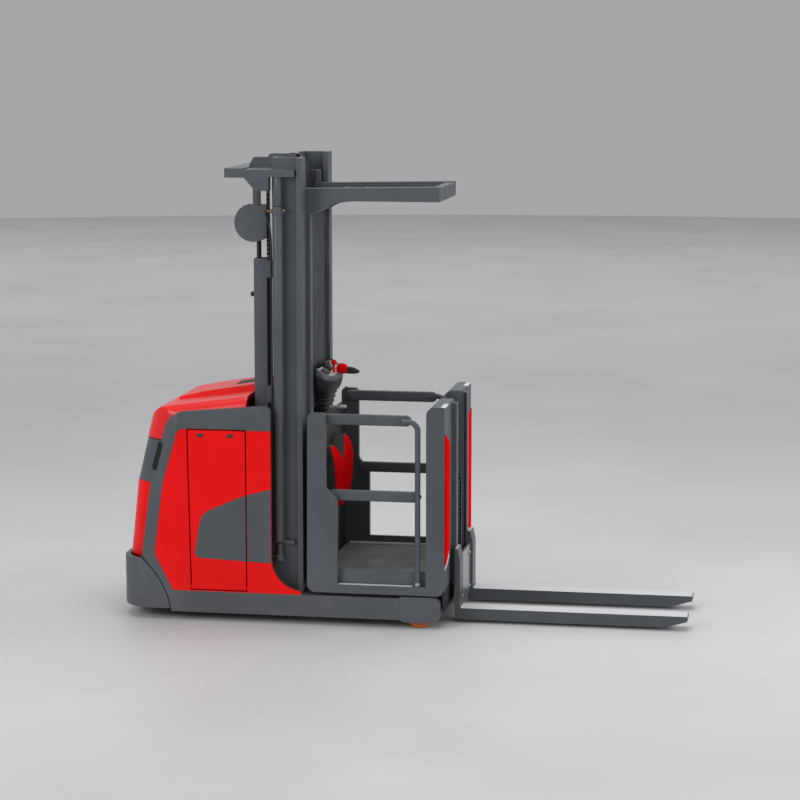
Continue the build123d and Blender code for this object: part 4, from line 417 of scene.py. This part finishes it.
TURN = {
    "Z": (0.0, 0.0, 0.0),
    "X": (0.0, math.pi / 2, 0.0),
    "-X": (0.0, -math.pi / 2, 0.0),
    "Y": (-math.pi / 2, 0.0, 0.0),
    "-Y": (math.pi / 2, 0.0, 0.0),
}


def turned(name, rows, place, axis, finish, body, steps=32, stretch=(1.0, 1.0, 1.0)):
    """A turned piece: a disc drawn out ring by ring through rows of (radius, distance)."""
    clear_selection()
    first_radius, first_distance = rows[0]
    wide = first_radius / MM
    bpy.ops.mesh.primitive_circle_add(vertices=steps, radius=wide, fill_type="NGON", location=(0, 0, 0))
    bpy.ops.object.mode_set(mode="EDIT")
    bpy.ops.mesh.select_all(action="SELECT")
    bpy.ops.transform.translate(value=(0.0, 0.0, first_distance / MM))
    for (radius, distance), (next_radius, next_distance) in zip(rows, rows[1:]):
        rise = (next_distance - distance) / MM
        bpy.ops.mesh.extrude_region_move(TRANSFORM_OT_translate={"value": (0.0, 0.0, rise)})
        grow = next_radius / radius
        middle = (0.0, 0.0, next_distance / MM)
        bpy.ops.transform.resize(value=(grow, grow, 1.0), center_override=middle)
    bpy.ops.mesh.select_all(action="SELECT")
    bpy.ops.mesh.fill_holes(sides=steps)
    bpy.ops.mesh.normals_make_consistent(inside=False)
    bpy.ops.object.mode_set(mode="OBJECT")
    piece = bpy.context.object
    piece.rotation_euler = TURN[axis]
    bpy.ops.object.transform_apply(location=False, rotation=True, scale=False)
    piece.scale = stretch
    piece.location = spot(*place)
    return finish_piece(name, finish, body)


def gathered(name, first, places):
    """Copies a piece from its first place to the others and joins them all into one."""
    home = Vector(spot(*places[0]))
    clear_selection()
    first.select_set(True)
    for place in places[1:]:
        twin = first.copy()
        twin.data = first.data.copy()
        twin.data.transform(Matrix.Translation(Vector(spot(*place)) - home))
        bpy.context.scene.collection.objects.link(twin)
        twin.select_set(True)
    bpy.context.view_layer.objects.active = first
    bpy.ops.object.join()
    first.name = name
    return first


WASHER = 1.6


def bolts(name, places, axis, size, finish, body):
    """Dome-headed bolts on washers, all facing one way."""
    seat = WASHER + 0.2
    rows = [(1.5 * size, 0), (1.5 * size, WASHER), (size, seat), (size, seat + 0.5 * size),
            (0.7 * size, seat + 0.75 * size)]
    return gathered(name, turned(name, rows, places[0], axis, finish, body, steps=16), places)


def pipe(name, points, radius, finish, body):
    """A bent pipe or fixed hose through a row of places."""
    clear_selection()
    curve = bpy.data.curves.new(name, "CURVE")
    curve.dimensions = "3D"
    curve.bevel_depth = radius / MM
    curve.bevel_resolution = 4
    curve.resolution_u = 6
    curve.use_fill_caps = True
    spline = curve.splines.new("NURBS")
    spline.points.add(len(points) - 1)
    for knot, point in zip(spline.points, points):
        knot.co = (*spot(*point), 1.0)
    spline.order_u = 3
    spline.use_endpoint_u = True
    piece = bpy.data.objects.new(name, curve)
    bpy.context.scene.collection.objects.link(piece)
    piece.select_set(True)
    bpy.context.view_layer.objects.active = piece
    bpy.ops.object.convert(target="MESH")
    return finish_piece(name, finish, body)


def rounded_point(point):
    """A key for finding a corner again by its place."""
    return tuple(round(c, 5) for c in point)


def drawn_out(name, rings, finish, body, angle=35):
    """A form drawn out from ring to ring; each ring is a list of places."""
    clear_selection()
    count = len(rings[0])
    bpy.ops.mesh.primitive_circle_add(vertices=count, radius=0.01, fill_type="NGON", location=(0, 0, 0))
    bpy.ops.object.mode_set(mode="EDIT")
    bpy.ops.mesh.select_all(action="SELECT")
    before = {}
    for number, ring in enumerate(rings):
        if number:
            bpy.ops.mesh.extrude_region_move(TRANSFORM_OT_translate={"value": (0.0, 0.0, 0.0)})
        mesh = bmesh.from_edit_mesh(bpy.context.object.data)
        face = [f for f in mesh.faces if f.select][0]
        corners = [loop.vert for loop in face.loops]
        places = [before.get(rounded_point(v.co), order) for order, v in enumerate(corners)]
        before = {}
        for corner, place in zip(corners, places):
            corner.co = spot(*ring[place])
            before[rounded_point(corner.co)] = place
        bmesh.update_edit_mesh(bpy.context.object.data)
    bpy.ops.mesh.select_all(action="SELECT")
    bpy.ops.mesh.fill_holes(sides=count)
    bpy.ops.mesh.normals_make_consistent(inside=False)
    bpy.ops.object.mode_set(mode="OBJECT")
    return finish_piece(name, finish, body, angle)


# Side gates: oval rails, spacer bushes, pivot nuts and the tubes' foot collars
GATE_PIN_INSET = 30
GATE_PIN_SPAN = 469
GATE_BAR_OUTSIDE = 459
GATE_BAR_INSIDE = 435
LOWER_RAIL_CUT = 22
BUSH = [(15, 0), (16, 1), (16, 10), (15, 11)]
PIVOT_NUT = [(14, 0), (14, 2), (10, 2.2), (10, 6), (8, 7)]
FOOT_COLLAR = [(15.4, 0), (16.2, 1), (16.2, 15), (15.4, 16)]
for side, hand in SIDES:
    for level in ("upper", "lower"):
        node = "gate_%s_bar_%s" % (level, hand)
        low, high = [place_of(corner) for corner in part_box(node)]
        if level == "lower":
            high = (high[0] - LOWER_RAIL_CUT, high[1], high[2])
        rail = gate_rail("gate_%s_rail_%s" % (level, hand), low, high, graphite, node)
        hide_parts(node)
        pin = (low[0] + GATE_PIN_INSET, side * GATE_BAR_OUTSIDE, (low[2] + high[2]) / 2)
        turned("gate_%s_bush_%s" % (level, hand), BUSH, pin, OUTWARD[side], graphite, "cabin", 24)
        ends = [(pin[0] + along, side * GATE_BAR_INSIDE, pin[2]) for along in (0, GATE_PIN_SPAN)]
        nut = turned("nut", PIVOT_NUT, ends[0], INWARD[side], graphite, node, 12)
        gathered("gate_%s_nuts_%s" % (level, hand), nut, ends)
    foot = (1651, side * 485, 238)
    turned("gate_foot_collar_" + hand, FOOT_COLLAR, foot, "Z", zinc, "gate_tube_" + hand)

# Knee pads: two moulded petals on black bases, fullest above the middle and narrowing below
PETAL = [(8, 570), (60, 574), (112, 590), (158, 620), (194, 664), (217, 715), (234, 770), (244, 825),
         (248, 880), (242, 918), (226, 940), (194, 948), (152, 934), (104, 904), (58, 868), (8, 838)]
PETAL_MIDDLE = (140, 790)
PAD_REAR = 1068
PAD_REACH = [(560, 86), (600, 94), (664, 98), (747, 99), (824, 99), (880, 91), (950, 62)]
PAD_BASE = ((0.0, 0.0), (0.8, 0.0), (0.83, 0.02))
PAD_CUSHION = ((0.78, 0.04), (0.82, 0.01), (0.9, 0.01), (0.95, 0.06), (0.98, 0.15), (0.995, 0.4), (1.0, 0.75))


def pad_reach(height):
    """How far the pad's front stands from the wall at a height."""
    for (low, near), (high, far) in zip(PAD_REACH, PAD_REACH[1:]):
        if height <= high:
            return near + (far - near) * (height - low) / (high - low)
    return PAD_REACH[-1][1]


def petal_ring(side, level, shrink):
    """The petal's outline at a share of its depth, drawn in towards its middle by a share."""
    rows = []
    for across, height in PETAL:
        y = across + (PETAL_MIDDLE[0] - across) * shrink
        z = height + (PETAL_MIDDLE[1] - height) * shrink
        rows.append((PAD_REAR + level * pad_reach(z), side * y, z))
    return rows


for side, hand in SIDES:
    base = [petal_ring(side, level, share) for level, share in PAD_BASE]
    drawn_out("knee_pad_backing_" + hand, base, black_plastic, "cabin")
    cushion = [petal_ring(side, level, share) for level, share in PAD_CUSHION]
    pad = drawn_out("knee_pad_" + hand, cushion, red_plastic, "cabin", 60)
    softened(pad, 2)
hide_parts("knee_pads")


def squared(value, power):
    """A sine or cosine pushed outwards, so that a round outline gets squarer."""
    return math.copysign(abs(value) ** power, value)


# Console: a shallow bowl on a bellows neck, with its rim, tray and controls
CONSOLE_REAR = 1044
CONSOLE_DEPTH = 86
CONSOLE_STEPS = 28
PANEL_SLOPE = 0.66
NECK_FOLDS = 5
NECK_RISE = 26


def console_ring(half_width, depth, height, tilt=0.0):
    """A rounded outline, flat at the back, whose back may stand higher than its front."""
    rows = []
    for step in range(CONSOLE_STEPS + 1):
        turn = math.pi * step / CONSOLE_STEPS
        y = -half_width * squared(math.cos(turn), 0.62)
        reach = depth * abs(math.sin(turn)) ** 0.62
        rows.append((CONSOLE_REAR + reach, y, height + tilt * (1 - reach / CONSOLE_DEPTH)))
    return rows


neck = [console_ring(64, 28, 1087)]
for fold in range(NECK_FOLDS):
    swell = 66 + 14 * fold
    deeper = 6 * fold
    bottom = 1094 + NECK_RISE * fold
    neck.append(console_ring(swell + 2, 29 + deeper, bottom))
    neck.append(console_ring(swell + 12, 36 + deeper, bottom + 10))
    neck.append(console_ring(swell + 4, 31 + deeper, bottom + 21))
neck.append(console_ring(140, 64, 1230))
console_neck = drawn_out("console_bellows", neck, black_plastic, "cabin", 30)
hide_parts("console")
BOWL = [(134, 60, 1220, 0), (168, 70, 1226, 0), (194, 78, 1242, 6), (212, 83, 1262, 18), (221, 85, 1284, 36),
        (223, 86, 1292, 44)]
RIM = [(221, 84, 1286, 44), (225, 86, 1290, 46), (225, 86, 1309, 58), (220, 84, 1313, 60),
       (207, 77, 1312, 60), (203, 74, 1298, 60)]
TRAY = [(204, 75, 1297, 60), (202, 74, 1301, 60), (196, 71, 1303, 60)]
drawn_out("console_bowl", [console_ring(*row) for row in BOWL], black_plastic, "cabin", 40)
drawn_out("console_rim", [console_ring(*row) for row in RIM], graphite, "cabin", 40)
drawn_out("console_tray", [console_ring(*row) for row in TRAY], pale_plastic, "cabin", 40)
rounded_block("console_display", (1050, -62, 1344), (1066, 62, 1387), 4, black_plastic, "cabin")
rounded_block("console_switch_bank", (1054, 84, 1332), (1096, 186, 1352), 6, pale_plastic, "cabin",
              PANEL_SLOPE)
rounded_block("console_palm_rest", (1054, -186, 1328), (1098, -92, 1356), 9, black_plastic, "cabin",
              PANEL_SLOPE)
KEY_CAP = [(7, 0), (7, 4), (6, 5.5), (3, 6)]
keys = [(1080, 98 + 20 * n, 1345) for n in range(5)]
gathered("console_keys", turned("key", KEY_CAP, keys[0], "Z", black_plastic, "cabin", 16), keys)
TRAVEL_KNOB = [(14, 0), (13, 6), (7, 9), (6, 22), (14, 26), (19, 32), (20, 40), (17, 46), (9, 49)]
turned("travel_knob", TRAVEL_KNOB, (1084, -60, 1316), "Z", black_plastic, "cabin")
BALL_KNOB = [(9, 0), (6, 20), (6, 46), (9, 50), (13, 55), (15, 62), (14, 69), (10, 74), (4, 76)]
red_knob = turned("red_knob", BALL_KNOB, (1098, 0, 1318), "Z", red_plastic, "cabin")
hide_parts("console_controls")

GRIP_ACROSS = 58
GRIP_STEPS = 20


def grip_ring(station, half_width, low, high):
    """A rounded outline across the grip at a station."""
    rows = []
    for step in range(GRIP_STEPS):
        turn = 2 * math.pi * step / GRIP_STEPS
        y = GRIP_ACROSS + half_width * squared(math.cos(turn), 0.7)
        z = (low + high) / 2 + (high - low) / 2 * squared(math.sin(turn), 0.7)
        rows.append((station, y, z))
    return rows


SLEEVE = [(1104, 12, 1318, 1352), (1112, 16, 1312, 1362), (1122, 17, 1310, 1367), (1142, 17, 1309, 1368),
          (1156, 17, 1309, 1362), (1164, 15, 1310, 1352), (1168, 12, 1314, 1344)]
GRIP_END = [(1162, 13, 1312, 1346), (1174, 16, 1309, 1350), (1196, 16, 1309, 1346), (1216, 14, 1311, 1338),
            (1228, 10, 1315, 1331), (1233, 5, 1319, 1326)]
drawn_out("grip_sleeve", [grip_ring(*row) for row in SLEEVE], red_plastic, "cabin", 40)
drawn_out("grip_end", [grip_ring(*row) for row in GRIP_END], black_plastic, "cabin", 40)
LEVER = [(7, 0), (7, 54), (9, 58), (11, 76), (11, 96), (8, 104), (3, 106)]
turned("lowering_lever", LEVER, (1072, -40, 1137), "X", pale_plastic, "cabin", 24)

# Latches of the battery doors: oval rings with a round key in each
LATCH_RING = [(19, 0), (19, 1.0), (17, 1.5), (14, 1.5), (12.5, 0.8), (9, 0.8)]
LATCH_OVAL = (1.0, 1.0, 0.62)
LATCH_KEY = [(5.5, 0), (5.5, 1.2), (4, 1.5), (1.5, 1.5)]
for side, hand in SIDES:
    door = "battery_door_" + hand
    places = [(station, side * 499.5, 1030) for station in (456, 622)]
    latch = turned("latch", LATCH_RING, places[0], OUTWARD[side], black_plastic, door, 32, LATCH_OVAL)
    gathered("door_latches_" + hand, latch, places)
    key = turned("latch_key", LATCH_KEY, places[0], OUTWARD[side], graphite, door, 16)
    gathered("door_latch_keys_" + hand, key, places)

# Air intakes that lean with the arch legs: slats over a black sheet, painted shade in the depth of the intake
INTAKE_LEAN = 0.29
INTAKE_FOOT = (181.5, 822)
SLAT_RISE = 11
SLAT_PITCH = 23
SLAT_ACROSS = 434
SLAT_HALF = (18, 4, 3)
SHADE_BACKING = ((156, 814), (206, 814), (256, 988), (206, 988))
for side, hand in SIDES:
    slats = []
    for number in range(7):
        rise = SLAT_RISE + SLAT_PITCH * number
        slats.append((INTAKE_FOOT[0] + INTAKE_LEAN * rise, side * SLAT_ACROSS, INTAKE_FOOT[1] + rise))
    low = [middle - half for middle, half in zip(slats[0], SLAT_HALF)]
    high = [middle + half for middle, half in zip(slats[0], SLAT_HALF)]
    gathered("intake_slats_" + hand, rounded_block("slat", low, high, 1.5, black_plastic, "chassis"), slats)
    # The black sheet behind the slats is painted shade
    sheet = [[(station, side * across, height) for station, height in SHADE_BACKING] for across in (424, 427)]
    drawn_out("intake_shade_backing_" + hand, sheet, black_plastic, "chassis")

# Load wheels: orange treads on cast hubs, with caps over the axle ends
LOAD_TREAD = [(46, 1), (70, 1), (76, 3), (79, 8), (80, 14), (80, 60), (79, 66), (76, 71), (70, 73), (46, 73)]
LOAD_HUB = [(20, 0.5), (44, 0.5), (47, 3), (47, 71), (44, 73.5), (20, 73.5)]
AXLE_CAP = [(16, 0), (15, 1.0), (9, 1.2)]
for side, hand in SIDES:
    body = "load_wheel_" + hand
    place = (1659, side * 444 - 37, 80)
    tyre = turned("load_tyre_" + hand, LOAD_TREAD, place, "Y", polyurethane, body, 64)
    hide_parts(body)
    turned("load_hub_" + hand, LOAD_HUB, place, "Y", casting, body, 48)
    axle_end = (1659, side * 500, 80)
    turned("load_axle_cap_" + hand, AXLE_CAP, axle_end, OUTWARD[side], graphite, "chassis", 24)

# Drive wheel: solid tyre, cast hub and six studs
DRIVE_STATION = 225
DRIVE_HEIGHT = 125
STUD_CIRCLE = 61
DRIVE_TREAD = [(60, 6), (84, 6), (90, 3), (112, 3), (120, 6), (124, 12), (125, 20), (125, 70), (124, 78),
               (120, 84), (112, 87), (90, 87), (84, 84), (60, 84)]
DRIVE_HUB = [(24, 0), (40, 0), (44, 4), (46, 9), (76, 9), (80, 5), (83, 5), (83, 85), (80, 85), (76, 81),
             (46, 81), (44, 86), (40, 90), (24, 90)]
drive_place = (DRIVE_STATION, -45, DRIVE_HEIGHT)
tyre = turned("drive_tyre", DRIVE_TREAD, drive_place, "Y", tyre_rubber, "drive_wheel", 72)
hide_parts("drive_wheel")
turned("drive_hub", DRIVE_HUB, drive_place, "Y", casting, "drive_wheel", 48)
studs = []
for number in range(6):
    turn = number * math.pi / 3
    station = DRIVE_STATION + STUD_CIRCLE * math.cos(turn)
    height = DRIVE_HEIGHT + STUD_CIRCLE * math.sin(turn)
    studs.append((station, -36, height))
bolts("drive_wheel_studs", studs, "-Y", 7, zinc, "drive_wheel")

# Lift cylinders: gland nuts, unions, pipes and foot fittings
CYLINDER_STATION = 876
CYLINDER_ACROSS = 409
GLAND = [(29, 0), (33, 2), (33, 30), (30, 33), (26, 33)]
UNION = [(7, 0), (10, 1), (10, 11), (7, 12), (7, 18), (9, 19), (9, 27), (6, 28)]
FOOT = [(24, 0), (26, 2), (26, 34), (16, 36), (16, 84), (20, 86), (20, 96)]
PIPE_RUN = [(822, 2246), (814, 2246), (808, 2226), (824, 2190), (838, 2110), (838, 1900), (838, 1000),
            (838, 470), (838, 330), (838, 240)]
for side, hand in SIDES:
    across = side * CYLINDER_ACROSS
    turned("cylinder_gland_" + hand, GLAND, (CYLINDER_STATION, across, 2229), "Z", graphite, "chassis", 10)
    turned("rear_union_" + hand, UNION, (846, across, 2246), "-X", brass, "chassis", 12)
    turned("front_union_" + hand, UNION[:4], (906, across, 2250), "X", brass, "chassis", 12)
    run = [(station, across, height) for station, height in PIPE_RUN]
    pipe("cylinder_pipe_" + hand, run, 6, rubber, "chassis")
    turned("cylinder_foot_" + hand, FOOT, (CYLINDER_STATION, across, 334), "Z", graphite, "chassis", 24)
    turned("foot_union_" + hand, UNION, (856, across, 352), "-X", brass, "chassis", 12)

# Mast bolts, the knob on the hose duct and the heads of the sheave pins
for level, height in (("low", 1232), ("high", 1930)):
    places = [(800, across, height) for across in (-235, -180, 235, 290, 340)]
    bolts("crossbar_bolts_" + level, places, "-X", 8, zinc, "chassis")
places = [(590, across, 2450) for across in (-400, -300, -100, 100, 300, 400)]
bolts("head_bolts", places, "-X", 8, zinc, "inner_mast")
DUCT_KNOB = [(7, 0), (7, 9), (13, 10), (14, 20), (10, 25), (4, 26)]
turned("duct_knob", DUCT_KNOB, (726, -305, 1787), "-X", black_plastic, "chassis")
PIN_HEAD = [(14, 0), (14, 3), (10, 4), (10, 9), (6, 10)]
for side, hand in SIDES:
    pin_end = (835, side * 231, 2465)
    turned("sheave_pin_head_" + hand, PIN_HEAD, pin_end, OUTWARD[side], zinc, "inner_mast", 16)

# Front columns: pale tips under the red strips and pale top trims, both painted highlights of edges that catch
# light; and a black sheet under the wall, painted shade of the dark space there
COLUMN_TIP = [(487, 349), (420, 377), (372, 398), (352, 420), (344, 402), (344, 376), (420, 342), (487, 327)]
for side, hand in SIDES:
    layers = [[(station, side * y, z) for y, z in COLUMN_TIP] for station in (1797, 1803, 1804)]
    # Pale tips and top trims: painted highlights of the columns' lit edges
    drawn_out("column_tip_highlight_" + hand, layers, highlight_trim, "cabin")
    low, high = sorted((side * 490, side * 350))
    rounded_block("column_top_highlight_" + hand, (1773, low, 1207), (1799.6, high, 1216), 4, highlight_trim, "cabin")
# A black sheet under the wall: painted shade of the dark space between the load-wheel housings and the
# carriage
rounded_block("front_shade_sheet", (1782, -470, 96), (1797, 470, 215), 3, black_plastic, "cabin")

# Cabin trim: sill strips and mat edges in pale grey, a painted highlight of their lit edges (the sill strip is
# a metal strip, its pale colour painted highlight); post caps, mat ribs and the fork carriage's bolts
POST_CAP = [(9, 0), (9, 2), (7, 5), (3, 7)]
RIB_PITCH = 28
for side, hand in SIDES:
    # Pale strips along the sills and the mat edges: painted highlights
    low, high = sorted((side * 497, side * 468))
    rounded_block("sill_highlight_strip_" + hand, (1218, low, 231.5), (1622, high, 233.6), 0.6, highlight_trim, "cabin")
    low, high = sorted((side * 438.5, side * 449.5))
    rounded_block("mat_edge_highlight_" + hand, (1100, low, 250), (1668, high, 274), 1.5, highlight_trim, "cabin")
    turned("post_cap_" + hand, POST_CAP, (1075, side * 485, 1168), "Z", graphite, "cabin", 16)
rib = rounded_block("rib", (1100, -424, 264), (1668, -416, 267.5), 1, mat_rubber, "cabin", 0.0, 1)
gathered("floor_mat_ribs", rib, [(1384, -420 + RIB_PITCH * n, 265.75) for n in range(31)])
places = [(1844, across, height) for across in (-130, 130) for height in (110, 300)]
bolts("carriage_bolts", places, "X", 9, zinc, "fork_carriage")

# Battery: twelve cell lids in two rows, their vent caps and the links between them
CELL_LENGTH = 139
CELL_WIDTH = 143
VENT_CAP = [(20, 0), (20, 4), (17, 6), (17, 14), (13, 17), (5, 17)]
cells = [(482 + CELL_LENGTH * a, -357 + CELL_WIDTH * b, 852) for a in range(2) for b in range(6)]
lid = rounded_block("lid", (416, -424, 846), (548, -290, 858), 4, black_plastic, "chassis")
gathered("battery_cell_lids", lid, cells)
vents = [(station, across, 858) for station, across, height in cells]
vent = turned("vent", VENT_CAP, vents[0], "Z", pale_plastic, "chassis", 20)
gathered("battery_vent_caps", vent, vents)
links = [(451 + CELL_LENGTH * a, -286 + CELL_WIDTH * b, 862) for a in range(2) for b in range(5)]
link = rounded_block("link", (440, -326, 858), (462, -246, 866), 3, rubber, "chassis")
gathered("battery_links", link, links)

# Drive motor: cooling fins and cable studs
FIN_PITCH = 15
MOTOR_STUD = [(10, 0), (10, 8), (5, 9), (5, 24), (9, 24), (9, 31), (5, 32)]
fins = [(88, 0)]
for number in range(12):
    rise = FIN_PITCH * number
    fins += [(88, rise + 2), (96, rise + 4), (96, rise + 9), (88, rise + 11)]
turned("motor_fins", fins, (DRIVE_STATION, 0, 352), "Z", casting, "drive_unit", 48)
posts = [(DRIVE_STATION + 50 * math.cos(turn), 50 * math.sin(turn), 549) for turn in (0.5, 2.6, 4.7)]
gathered("motor_studs", turned("stud", MOTOR_STUD, posts[0], "Z", brass, "drive_unit", 12), posts)

# Hood: the grip recess in the hatch, lying in its slope
HATCH_SLOPE = -0.163
rounded_block("hatch_grip_frame", (556, -62, 1258), (668, 62, 1266), 4, black_plastic, "hood", HATCH_SLOPE)


# Floor, light and camera

bpy.ops.mesh.primitive_circle_add(vertices=96, radius=30.0, fill_type="NGON", location=(0, 0, 0))
floor = bpy.context.object
floor.name = "studio_floor"
floor_paint, floor_tree, floor_shader, floor_place = start("studio_floor")
cloudy = add(floor_tree, "TexNoise", Vector=floor_place, Scale=per_metre(FLOOR_CLOUD), Detail=3.0)
floor_tone = add(floor_tree, "ValToRGB", stops=((0.3, "#bfc0c1"), (0.7, "#c8c9ca")), Fac=cloudy.outputs["Fac"])
set_inputs(floor_tree, floor_shader, Base_Color=floor_tone.outputs["Color"], Roughness=0.5)
floor.data.materials.append(floor_paint)

world = bpy.data.worlds.new("studio")
world.use_nodes = True
sky = world.node_tree.nodes["Background"]
sky.inputs["Color"].default_value = (0.86, 0.88, 0.9, 1.0)
sky.inputs["Strength"].default_value = 0.44
bpy.context.scene.world = world


def softbox(name, place, target, size, power):
    """A rectangular soft light at a place, facing a target."""
    data = bpy.data.lights.new(name, "AREA")
    data.shape = "RECTANGLE"
    data.size = size[0]
    data.size_y = size[1]
    data.energy = power
    lamp = bpy.data.objects.new(name, data)
    lamp.location = place
    lamp.rotation_euler = (Vector(target) - Vector(place)).to_track_quat("-Z", "Y").to_euler()
    bpy.context.scene.collection.objects.link(lamp)


softbox("overhead", (0.0, 0.5, 6.5), (0.0, 0.0, 0.0), (5.0, 5.0), 240.0)
softbox("key", (-5.5, -6.5, 4.5), (-0.3, 0.0, 1.0), (3.5, 3.5), 265.0)
softbox("fill", (5.5, -7.0, 3.0), (0.2, 0.0, 1.0), (4.0, 3.0), 140.0)
softbox("front", (7.0, 0.5, 3.0), (0.0, 0.0, 1.0), (3.0, 3.0), 120.0)
# Keeps the floor behind the machine as pale as in front of it
softbox("backdrop", (-2.0, 17.0, 8.0), (-2.0, 17.0, 0.0), (36.0, 16.0), 1100.0)

# The camera looks down by 8.5 degrees from the right side, 9.7 degrees ahead of square.
LOOK_DOWN = 8.504
LOOK_BACK = 9.705
lens = bpy.data.cameras.new("photo_camera")
lens.sensor_width = 36.0
lens.lens = 110.85
lens.clip_end = 200.0
camera = bpy.data.objects.new("photo_camera", lens)
camera.location = (2.2122, -13.3354, 3.1992)
camera.rotation_euler = (math.radians(90 - LOOK_DOWN), 0.0, math.radians(LOOK_BACK))
bpy.context.scene.collection.objects.link(camera)
bpy.context.scene.camera = camera
bpy.context.scene.view_settings.view_transform = "Standard"
